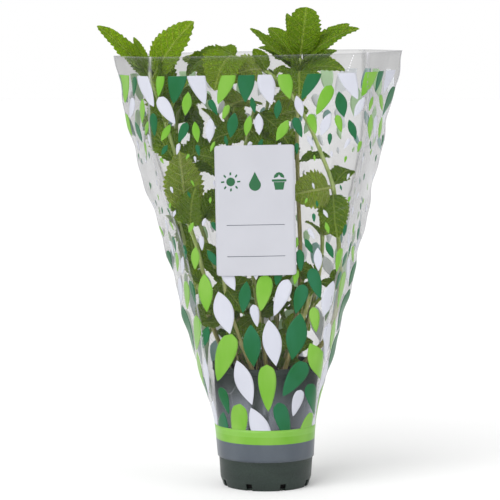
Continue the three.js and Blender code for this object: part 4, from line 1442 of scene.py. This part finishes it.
TOP_UNDER_SET = 0.88
CROWDING = 1.6
YOUNG = [0.75, 0.95]
PRESSED = {"depth": 0.6, "turned": 0.9, "front": 14}
VARY = {"length": 0.85, "length_spread": 0.3, "turn_spread": 0.7, "top_rise": 0.9, "rise": 0.5,
        "rise_spread": 0.8, "width": 0.56, "width_spread": 0.1, "roll_spread": 0.9, "bow": 0.03,
        "bow_spread": 0.06}
TEST_ALONG = [0.25, 0.4, 0.55, 0.7, 0.85, 1]
TEST_ACROSS = [-1, -0.5, 0, 0.5, 1]
MARKS = 60
print("stems:", len(STEMS), "set leaves:", sum(len(stem["set"]) for stem in STEMS))

# %% Routes, and a point of a leaf
def unit(vector):
    return np.asarray(vector, float) / math.sqrt(float(np.dot(vector, vector)))


def route_points(route, step_length=STEM_STEP):
    """Points of a smooth curve through a route's places, about one for each step."""
    route = [np.array(p, float) for p in route]
    points = []
    for i in range(len(route) - 1):
        before, after = route[max(i - 1, 0)], route[min(i + 2, len(route) - 1)]
        p, q = route[i], route[i + 1]
        steps = math.ceil(np.linalg.norm(q - p) / step_length)
        for k in range(steps):
            t = k / steps
            points.append(0.5 * (2 * p + (q - before) * t + (2 * before - 5 * p + 4 * q - after) * t ** 2
                                 + (3 * p - before - 3 * q + after) * t ** 3))
    points.append(route[-1])
    return np.array(points)


def on_route(points, share):
    place = min(max(share, 0), 1) * (len(points) - 1)
    i = min(math.floor(place), len(points) - 2)
    run = points[i + 1] - points[i]
    return points[i] + run * (place - i)


def share_at_height(points, height):
    i = 0
    while i < len(points) - 2 and points[i + 1][2] < height:
        i += 1
    part = min(max((height - points[i][2]) / (points[i + 1][2] - points[i][2]), 0), 1)
    return (i + part) / (len(points) - 1)


def leaf_frame(leaf):
    """The leaf's chord, its direction across and its direction out of the upper face."""
    chord = leaf["tip"] - leaf["foot"]
    side = unit(np.cross(leaf["face"], unit(chord)))
    return chord, side, np.cross(unit(chord), side)


def leaf_half_width(leaf, t, swell=LEAF["swell"], taper=LEAF["taper"]):
    """A mint leaf's half width at a share t of its length, before its teeth are cut."""
    s = np.clip((np.asarray(t, float) - LEAF["stalk_share"]) / (1 - LEAF["stalk_share"]), 0, 1)
    peak = swell ** swell * taper ** taper / (swell + taper) ** (swell + taper)
    return np.maximum(LEAF["stalk"], leaf["width"] / 2 * s ** swell * (1 - s) ** taper / peak)


def leaf_samples(leaf):
    """Points over a leaf that stand for it when its room is tested."""
    chord, side, face = leaf_frame(leaf)
    samples = []
    for t in TEST_ALONG:
        half = float(leaf_half_width(leaf, min(t, 0.999)))
        for v in TEST_ACROSS:
            rise = 4 * leaf["bow"] * t * (1 - t) + LEAF["fold"] * abs(v) * half
            samples.append(leaf["foot"] + chord * t + side * (v * half) + face * rise)
    return np.array(samples)


# %% [markdown]
# ## The rule that throws the leaves
#
# The rule below takes its random numbers in a fixed order from a small generator that gives the
# same numbers in any language, so the plain stems and these fine ones agree.

# %% The generator
DICE_FACTOR = 16807
DICE_MODULUS = 2147483647


def dice(seed):
    """A generator of shares from 0 to 1: each state is the last one times a factor."""
    state = seed

    def roll():
        nonlocal state
        state = state * DICE_FACTOR % DICE_MODULUS
        return state / DICE_MODULUS
    return roll


# %% One throw of a leaf
def drawn_leaf(stem, points, k, side, roll, strength, size):
    """One throw of a leaf: pair k from the top, side 0 or 1 of the pair."""
    depth = k / max(stem["pairs"] - 1, 1)
    top = TOP_UNDER_SET if stem["set"] else 1
    share = top - (top - stem["from"]) * depth ** CROWDING
    low, high = stem["lengths"]
    young = 1 if stem["set"] or k >= len(YOUNG) else YOUNG[k]
    usual = (high + (low - high) * depth) * young
    length = usual * (VARY["length"] + VARY["length_spread"] * roll()) * size
    swing = (roll() - 0.5) * VARY["turn_spread"] * strength
    turn = stem["turn"] + (k + 2 * side) * math.pi / 2 + swing
    usual_rise = VARY["top_rise"] if k == 0 else VARY["rise"]
    rise = usual_rise + (roll() - 0.5) * VARY["rise_spread"] * strength
    out = np.array([math.cos(turn), math.sin(turn) * PRESSED["depth"], 0])
    run = unit(np.array([0, 0, math.sin(rise)]) + out * math.cos(rise))
    upper = np.array([0, 0, math.cos(rise)]) - out * math.sin(rise)
    facing = -1 if stem["route"][1][1] < PRESSED["front"] else 1
    face = unit(upper + np.array([0, facing, 0]) * PRESSED["turned"])
    across = np.cross(face, run)
    foot = on_route(points, share)
    width = length * (VARY["width"] + VARY["width_spread"] * roll())
    face = unit(face + across * (roll() - 0.5) * VARY["roll_spread"])
    bow = length * (VARY["bow"] + VARY["bow_spread"] * roll())
    return {"foot": foot, "tip": foot + run * length, "width": width, "face": face, "bow": bow}


# %% Room round a leaf
def apart(points, others, distance):
    """Whether all of some points keep a distance from all of some others."""
    gaps = points[:, None, :] - others[None, :, :]
    return bool(((gaps ** 2).sum(-1) > distance * distance).all())


def inside_sleeve(points, margin):
    """Whether points lie a margin inside the film, or free above its mouth."""
    height = np.minimum(points[:, 2], SLEEVE["top"])
    free = points[:, 2] > SLEEVE["top"] + 2 * margin
    half_width = along("half_width", height) - SLEEVE["film"] - margin
    s = (points[:, 0] - along("middle", height)) / half_width
    half_depth = along("half_depth", height) - SLEEVE["film"] - margin
    held = (np.abs(s) < 1) & (np.abs(points[:, 1]) < half_depth * depth_share(s, height))
    return bool((free | held).all())


def is_clear(samples, plant, plants, room):
    """Whether a leaf keeps its room from the film, the ground, the stems and other leaves."""
    if not inside_sleeve(samples, room["film"]) or not (samples[:, 2] > room["ground"]).all():
        return False
    first = len(TEST_ACROSS)
    for other in plants:
        if other is plant:
            if not all(apart(samples[first:], own[first:], room["own"]) for own in other["samples"]):
                return False
        elif not apart(samples, other["marks"], room["stem"]):
            return False
        elif not all(apart(samples, leaf, room["leaf"]) for leaf in other["samples"]):
            return False
    return True


# %% Growing the plants
def new_plant(stem):
    """A stem's route with its listed leaves."""
    points = route_points(stem["route"])
    marks = np.array([on_route(points, i / MARKS) for i in range(MARKS + 1)])
    leaves = [{"foot": on_route(points, share_at_height(points, at)), "tip": np.array(tip, float),
               "width": width, "face": np.array(face, float), "bow": bow}
              for at, tip, width, face, bow in stem["set"]]
    return {"stem": stem, "points": points, "marks": marks, "leaves": leaves,
            "samples": [leaf_samples(leaf) for leaf in leaves]}


def draw_leaves(plant, plants, room=CLEARANCE):
    """Adds the drawn leaves of one stem, each the first of its draws that is clear."""
    stem = plant["stem"]
    roll = dice(stem["seed"])
    for place in range(2 * stem["pairs"]):
        for draw in range(DRAWS * SHRINKS):
            size = SHRINK ** (draw // DRAWS)
            strength = 1 + (draw % DRAWS) / STRONGER_AFTER
            leaf = drawn_leaf(stem, plant["points"], place // 2, place % 2, roll, strength, size)
            samples = leaf_samples(leaf)
            if is_clear(samples, plant, plants, room):
                plant["leaves"].append(leaf)
                plant["samples"].append(samples)
                break


def grow_plants():
    plants = [new_plant(stem) for stem in STEMS]
    for plant in plants:
        draw_leaves(plant, plants)
    return plants


PLANTS = grow_plants()
print("leaves on each stem:", [len(plant["leaves"]) for plant in PLANTS])

# %% [markdown]
# ## Young shoots
#
# Between the main stems a pot of mint is full of short young shoots, which fill the space over the
# compost. They are small enough to be left to this script. Each gets a seeded foot and a leaning
# route that keeps clear of what already stands, and its leaves follow the rule of the big stems
# with less room round them.

# %% Routes of the young shoots
SHOOTS = {"count": 16, "seed": 301, "tries": 60, "reach": 31, "inmost": 0.03, "foot": 88, "ground": 97,
          "height": (128, 190), "lean": (1.15, 1.6), "stray": 9, "bow": 1.5, "apart": 3.0,
          "leaf_seed": 400, "seed_step": 7}
SHOOT_LEAVES = {"pairs": 3, "from": 0.42, "lengths": (15, 22), "tone": 0.62, "set": []}
SHOOT_ROOM = {"leaf": 2.2, "own": 2.2, "stem": 2.4, "film": 3.0, "ground": 99}


def drawn_shoot(draw, number):
    """A stem that leans out from a random foot, more to the sides than to the front and back."""
    angle = draw.uniform(0, 2 * math.pi)
    out = SHOOTS["reach"] * math.sqrt(draw.uniform(SHOOTS["inmost"], 1))
    x, y = out * math.cos(angle), out * math.sin(angle)
    top = draw.uniform(*SHOOTS["height"])
    lean = draw.uniform(*SHOOTS["lean"])
    tip_x = x * lean + draw.uniform(-1, 1) * SHOOTS["stray"]
    tip_y = y * SHOOTS["lean"][0] + draw.uniform(-0.5, 0.5) * SHOOTS["stray"]
    middle = ((x + tip_x) / 2 + SHOOTS["bow"], (y + tip_y) / 2, (SHOOTS["ground"] + top) / 2)
    route = [(x, y, SHOOTS["foot"]), (x, y, SHOOTS["ground"]), middle, (tip_x, tip_y, top)]
    return {**SHOOT_LEAVES, "route": route, "turn": draw.uniform(0, math.pi),
            "seed": SHOOTS["leaf_seed"] + SHOOTS["seed_step"] * number}


def stands_free(shoot, others):
    """Whether a shoot's stalk keeps clear of the stems, the leaves and the film."""
    standing = [other["marks"] for other in others]
    standing += [samples for other in others for samples in other["samples"]]
    clear = all(apart(shoot["marks"], marks, SHOOTS["apart"]) for marks in standing)
    return clear and inside_sleeve(shoot["marks"], SHOOT_ROOM["film"])


def grow_shoots(plants):
    draw = np.random.default_rng(SHOOTS["seed"])
    shoots = []
    for number in range(SHOOTS["count"]):
        for _ in range(SHOOTS["tries"]):
            shoot = new_plant(drawn_shoot(draw, number))
            if stands_free(shoot, plants + shoots):
                shoots.append(shoot)
                break
    for shoot in shoots:
        draw_leaves(shoot, plants + shoots, SHOOT_ROOM)
    return shoots


YOUNG_SHOOTS = grow_shoots(PLANTS)
print("leaves on each shoot:", [len(shoot["leaves"]) for shoot in YOUNG_SHOOTS])

# %% [markdown]
# ## A mint leaf as a mesh
#
# A real leaf is a thin blade with about ten forward teeth on each side, a groove over the midrib,
# and soft pillows between the side veins. Rows of points run across the blade, four to each tooth,
# so every tooth is cut in the mesh, and each tooth gets a size of its own, since no two on a leaf
# are alike. The upper and lower faces are two copies of the grid, held apart by the blade's
# thickness and joined round the rim, and the midrib and the stalk are thicker than the blade.

# %% The rows of a leaf and its teeth
TEETH = {"least": 4, "each": 6, "few": 7, "many": 12, "size": 0.5, "spread": 1.1, "tip": 0.45}
TOOTH_PHASES = [0.0, 0.36, 0.72, 0.88]
TOOTH_CUT = [0.1, 0.03, -0.045, 0.02]
HALF_ACROSS = [0.04, 0.13, 0.28, 0.44, 0.6, 0.76, 0.9, 1]
ACROSS = np.array([-v for v in HALF_ACROSS[::-1]] + HALF_ACROSS)
STALK_ROWS = [0, 0.4, 0.8]


def blade_rows(length, roll):
    """Shares along the leaf, and how far the edge reaches at each: the stalk, the teeth, the tip."""
    teeth = int(np.clip(round(TEETH["least"] + length / TEETH["each"]), TEETH["few"], TEETH["many"]))
    parts = teeth + TEETH["tip"]
    shares = [LEAF["stalk_share"] * s for s in STALK_ROWS]
    reach = [1.0] * len(shares)
    for k in range(teeth):
        size = TEETH["size"] + TEETH["spread"] * roll()
        for phase, cut in zip(TOOTH_PHASES, TOOTH_CUT):
            s = (k + phase) / parts
            shares.append(LEAF["stalk_share"] + (1 - LEAF["stalk_share"]) * s)
            reach.append(1 - cut * size)
    shares += [LEAF["stalk_share"] + (1 - LEAF["stalk_share"]) * teeth / parts, 0.985, 1.0]
    reach += [0.93, 1.0, 1.0]
    return np.array(shares), np.array(reach)


print("columns across a leaf:", len(ACROSS), "rows to each tooth:", len(TOOTH_PHASES))

# %% The relief of a leaf
BLADE = {"thickness": 0.42, "rib": 0.6, "groove": 0.25, "rib_half": 0.8, "pillow": 0.9, "wave": 1.3,
         "curl": 2.4, "stalk": 0.45, "thin_edge": 0.6, "starts": (0.0, 0.12), "curls": (0.72, 1.0),
         "tip": 0.08, "full_width": 24, "fold_round": 0.6, "swell": 0.46, "taper": 0.68}


def pillows(s, a, scale):
    """How far the blade swells between its veins, by the same rule as the veins' colour."""
    lean = VEINS["rise"] * a + VEINS["curve"] * a * a
    order = (s - lean) * VEINS["pairs"]
    near = np.abs((order + VEINS["start"]) % 1 - 0.5) * 2
    between = ease(0.03, 0.2, a) * (1 - ease(0.85, 1.05, a))
    return BLADE["pillow"] * scale * np.minimum(near * 1.6, 1) * between


def blade_rise(leaf, roll, t, s, u, v):
    """How far the blade stands out of its chord: its bow, fold, pillows, waves and curled tip."""
    scale = min(1.0, leaf["width"] / BLADE["full_width"])
    a = np.abs(u) / (leaf["width"] / 2)
    on_blade = ease(*BLADE["starts"], s)
    rise = 4 * leaf["bow"] * t * (1 - t)
    rise = rise + LEAF["fold"] * (np.sqrt(u * u + BLADE["fold_round"]) - math.sqrt(BLADE["fold_round"]))
    rise = rise + on_blade * pillows(s, a, scale)
    phase, other = roll() * 6.3, roll() * 6.3
    rise = rise + on_blade * BLADE["wave"] * scale * a ** 2 * (
        np.sin(11 * s + phase + np.sign(v) * other) + 0.5 * np.sin(23 * s + other))
    return rise - BLADE["curl"] * scale * ease(*BLADE["curls"], s) * (0.4 + 0.6 * roll())


def blade_faces(s, u, v):
    """How far the upper face and the lower face stand off the blade's middle."""
    on_blade = ease(*BLADE["starts"], s)
    rib = np.exp(-(u / BLADE["rib_half"]) ** 2) * (1 - 0.75 * s) * on_blade
    stalk = BLADE["stalk"] * (1 - on_blade)
    above = BLADE["thickness"] / 2 - BLADE["groove"] * rib + stalk
    below = BLADE["thickness"] / 2 + BLADE["rib"] * rib + stalk
    edge = 1 - ease(0.9, 1, np.abs(v)) * BLADE["thin_edge"]
    return above * edge, below * edge


# %% Shaping one leaf
def leaf_mesh(leaf, roll, taper):
    """Points, faces, map and underside marks of one leaf; a low taper gives it a round tip."""
    chord, side, face = leaf_frame(leaf)
    t, reach = blade_rows(np.linalg.norm(chord), roll)
    half = leaf_half_width(leaf, np.minimum(t, 0.9995), BLADE["swell"], taper) * reach
    half[-1] = BLADE["tip"]
    t = t[:, None]
    v = np.broadcast_to(ACROSS, (len(t), len(ACROSS)))
    u = v * half[:, None]
    s = np.clip((t - LEAF["stalk_share"]) / (1 - LEAF["stalk_share"]), 0, 1)
    rise = blade_rise(leaf, roll, t, s, u, v)
    above, below = blade_faces(s, u, v)
    base = leaf["foot"] + chord * t[..., None] + side * u[..., None]
    top = base + face * (rise + above)[..., None]
    low = base + face * (rise - below)[..., None]
    rows, columns = v.shape
    count = rows * columns
    points = np.concatenate([top.reshape(-1, 3), low.reshape(-1, 3)])
    faces = grid_faces(rows, columns) + grid_faces(rows, columns, first=count, flip=True)
    rim = rim_of(rows, columns)
    faces += [(here, here + count, on + count, on) for here, on in zip(rim, rim[1:] + rim[:1])]
    uv = np.stack([0.5 + u / leaf["width"], np.broadcast_to(s, v.shape)], -1)
    uv = np.concatenate([uv.reshape(-1, 2)] * 2)
    return points, faces, uv, np.concatenate([np.zeros(count), np.ones(count)])


# %% [markdown]
# ## A mint stem as a mesh
#
# Mint has square stems, which swell a little where a pair of leaves sits and get thinner upwards.
# The section is a square with bowed sides. It is swept along a finer reading of the same route.
# A stem is woody and brownish near the compost and turns green between two heights, which are
# higher up on the oldest stem.

# %% Shaping one stem
GREEN_BETWEEN = (95, 230)
SQUARENESS = 0.12
KNOT_REACH = 3
STALK = {"foot": 1.95, "top": 1.35, "swell": 0.3, "step": 5, "sides": 12}
YOUNG_STALK = {"foot": 0.95, "top": 0.6, "swell": 0.2, "step": 5, "sides": 8}


def stem_mesh(plant, stalk):
    """Points and faces of a stem, and how green each point is."""
    line = route_points(plant["stem"]["route"], stalk["step"])
    feet = np.array([leaf["foot"] for leaf in plant["leaves"]])
    run = np.gradient(line, axis=0)
    run /= np.linalg.norm(run, axis=1, keepdims=True)
    across = np.cross(run, (0.3, 1, 0))
    across /= np.linalg.norm(across, axis=1, keepdims=True)
    other = np.cross(run, across)
    angles = around(stalk["sides"])
    square = 1 + SQUARENESS * np.cos(4 * angles)
    woody, green = plant["stem"].get("green", GREEN_BETWEEN)
    points, ages = [], []
    for k, place in enumerate(line):
        share = k / (len(line) - 1)
        radius = stalk["foot"] + (stalk["top"] - stalk["foot"]) * share
        near = np.min(np.linalg.norm(feet - place, axis=1))
        radius += stalk["swell"] * math.exp(-(near / KNOT_REACH) ** 2)
        for angle, out in zip(angles, square):
            way = across[k] * math.cos(angle) + other[k] * math.sin(angle)
            points.append(place + way * radius * out)
            ages.append(float(ease(woody, green, place[2])))
    sides = stalk["sides"]
    faces = grid_faces(len(line), sides, close=True)
    faces.append(tuple(range(sides))[::-1])
    faces.append(tuple((len(line) - 1) * sides + i for i in range(sides)))
    return np.array(points), faces, np.array(ages)


# %% [markdown]
# ## The leafy stems
#
# Every stem and its leaves are one piece, as they grew. Leaves are brighter the higher their tips
# reach, partly as young growth and partly as painted light from above, and older leaves low in the
# sleeve are darker. The large leaf that is pressed flat against the front shows its underside, as
# two others do, and a few of the set leaves have round tips.

# %% Building the stems
SHOWN_FROM_BELOW = {("leafy_stem_1", 5), ("leafy_stem_3", 0), ("leafy_stem_3", 3)}
ROUND_TIPS = {("leafy_stem_2", 0): 0.4, ("leafy_stem_3", 4): 0.5, ("leafy_stem_3", 5): 0.5}
BRIGHTER = {("leafy_stem_3", 4): 0.5}
# How much brighter a leaf's tone gets as its tip reaches higher: young growth and painted light from above
TOP_PAINTED_LIGHT = {"between": (300, 380), "share": 0.35}
TONE_SPREAD = 0.3
TEETH_SEED = {"first": 900, "step": 37}


def make_stem(name, number, plant, stalk=STALK):
    """One stem with its leaves; slot 0 is the leaves' material and slot 1 the stem's."""
    roll = dice(TEETH_SEED["first"] + TEETH_SEED["step"] * number)
    points, faces, ages = stem_mesh(plant, stalk)
    all_points, all_faces, slots = [points], list(faces), [1] * len(faces)
    maps = [np.zeros((len(points), 2))]
    tones, unders, all_ages = [np.zeros(len(points))], [np.zeros(len(points))], [ages]
    count = len(points)
    for order, leaf in enumerate(plant["leaves"]):
        points, faces, uv, under = leaf_mesh(leaf, roll, ROUND_TIPS.get((name, order), BLADE["taper"]))
        if (name, order) in SHOWN_FROM_BELOW:
            under = 1 - under
        # Higher leaves get a brighter tone, partly painted light from above
        high_up = float(ease(*TOP_PAINTED_LIGHT["between"], leaf["tip"][2]))
        tone = plant["stem"]["tone"] + TOP_PAINTED_LIGHT["share"] * high_up
        tone += TONE_SPREAD * (roll() - 0.5) + BRIGHTER.get((name, order), 0)
        all_points.append(points)
        all_faces += [tuple(n + count for n in face) for face in faces]
        slots += [0] * len(faces)
        maps.append(uv)
        tones.append(np.full(len(points), tone))
        unders.append(under)
        all_ages.append(np.ones(len(points)))
        count += len(points)
    piece = make_piece(name, np.concatenate(all_points), all_faces, [MINT_LEAF, MINT_STEM], slots)
    surface_map(piece, np.concatenate(maps))
    point_value(piece, "tone", np.concatenate(tones))
    point_value(piece, "under", np.concatenate(unders))
    point_value(piece, "age", np.concatenate(all_ages))
    return piece


for number, plant in enumerate(PLANTS):
    piece = make_stem(f"leafy_stem_{number + 1}", number, plant)
    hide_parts(f"mint_stem_{number + 1}")
    tell(piece)
    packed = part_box(f"mint_stem_{number + 1}")
    print("packed:", [[round(v / MM, 1) for v in corner] for corner in packed])
for number, shoot in enumerate(YOUNG_SHOOTS):
    tell(make_stem(f"young_shoot_{number + 1}", len(PLANTS) + number, shoot, YOUNG_STALK))

# %% [markdown]
# ## Floor, light and camera
#
# The pot stands on a plain pale floor in a white room with a dimmer ceiling, so that a soft sun
# from the upper left can shape the leaves, and a weaker lamp at the right lights the film. The
# camera is a long lens from a little above, at the angle of the photograph.

# %% Floor
FLOOR_HALF = 6000.0


def make_floor():
    material, tree, shader = new_material("pale_floor", Roughness=0.8, Specular_IOR_Level=0.2)
    colour = blend_colours(tree, mottle(tree, Size=180.0), tint(249, 249, 249), tint(252, 252, 252))
    link(tree, (colour, shader.inputs["Base Color"]))
    corners = [(x * FLOOR_HALF, y * FLOOR_HALF, 0) for x, y in ((-1, -1), (1, -1), (1, 1), (-1, 1))]
    floor = new_object("floor", new_mesh("floor", corners, [(0, 1, 2, 3)], [material]))


make_floor()

# %% Light
ROOM = {"horizon": 1.0, "ceiling": 0.7, "from": 0.12, "to": 0.45}
SUN = {"from": (-1.5, -1.9, 2.2), "strength": 1.9, "spread": math.radians(50)}
SIDE_LAMP = {"from": (1.9, -1.1, 1.1), "size": 0.8, "power": 7.0}
AIM_HEIGHT = 0.2


def aim(thing, place, target):
    """Stands a lamp or the camera at a place, turned towards a target."""
    thing.location = place
    way = Vector(target) - Vector(place)
    thing.rotation_euler = way.to_track_quat("-Z", "Y").to_euler()


def make_light():
    world = bpy.data.worlds.new("soft_room")
    world.use_nodes = True
    tree = world.node_tree
    where = tree.nodes.new("ShaderNodeTexCoord")
    parts = tree.nodes.new("ShaderNodeSeparateXYZ")
    link(tree, (where.outputs["Generated"], parts.inputs[0]))
    up = ramp_between(tree, parts.outputs["Z"], ROOM["from"], ROOM["to"])
    strength = sum_node(tree, "MULTIPLY_ADD", up, ROOM["ceiling"] - ROOM["horizon"], ROOM["horizon"])
    sky = tree.nodes["Background"]
    sky.inputs["Color"].default_value = (1.0, 1.0, 1.0, 1.0)
    link(tree, (strength, sky.inputs["Strength"]))
    bpy.context.scene.world = world
    sun = bpy.data.lights.new("soft_sun", "SUN")
    sun.energy, sun.angle = SUN["strength"], SUN["spread"]
    side = bpy.data.lights.new("side_lamp", "AREA")
    side.size, side.energy = SIDE_LAMP["size"], SIDE_LAMP["power"]
    for lamp, place in ((sun, SUN["from"]), (side, SIDE_LAMP["from"])):
        aim(new_object(lamp.name, lamp), place, (0, 0, AIM_HEIGHT))


make_light()

# %% Camera
CAMERA = {"place": (-0.0135, -2.326, 0.4527), "aim": (-0.0135, 0.0, 0.2),
          "view": math.radians(10.31)}


def make_camera():
    camera = bpy.data.cameras.new("camera")
    camera.sensor_width = 36.0
    camera.lens = camera.sensor_width / 2 / math.tan(CAMERA["view"] / 2)
    holder = new_object("camera", camera)
    aim(holder, CAMERA["place"], CAMERA["aim"])
    bpy.context.scene.camera = holder
    bpy.context.scene.view_settings.view_transform = "Standard"
    print("lens, mm:", round(camera.lens, 1))


make_camera()
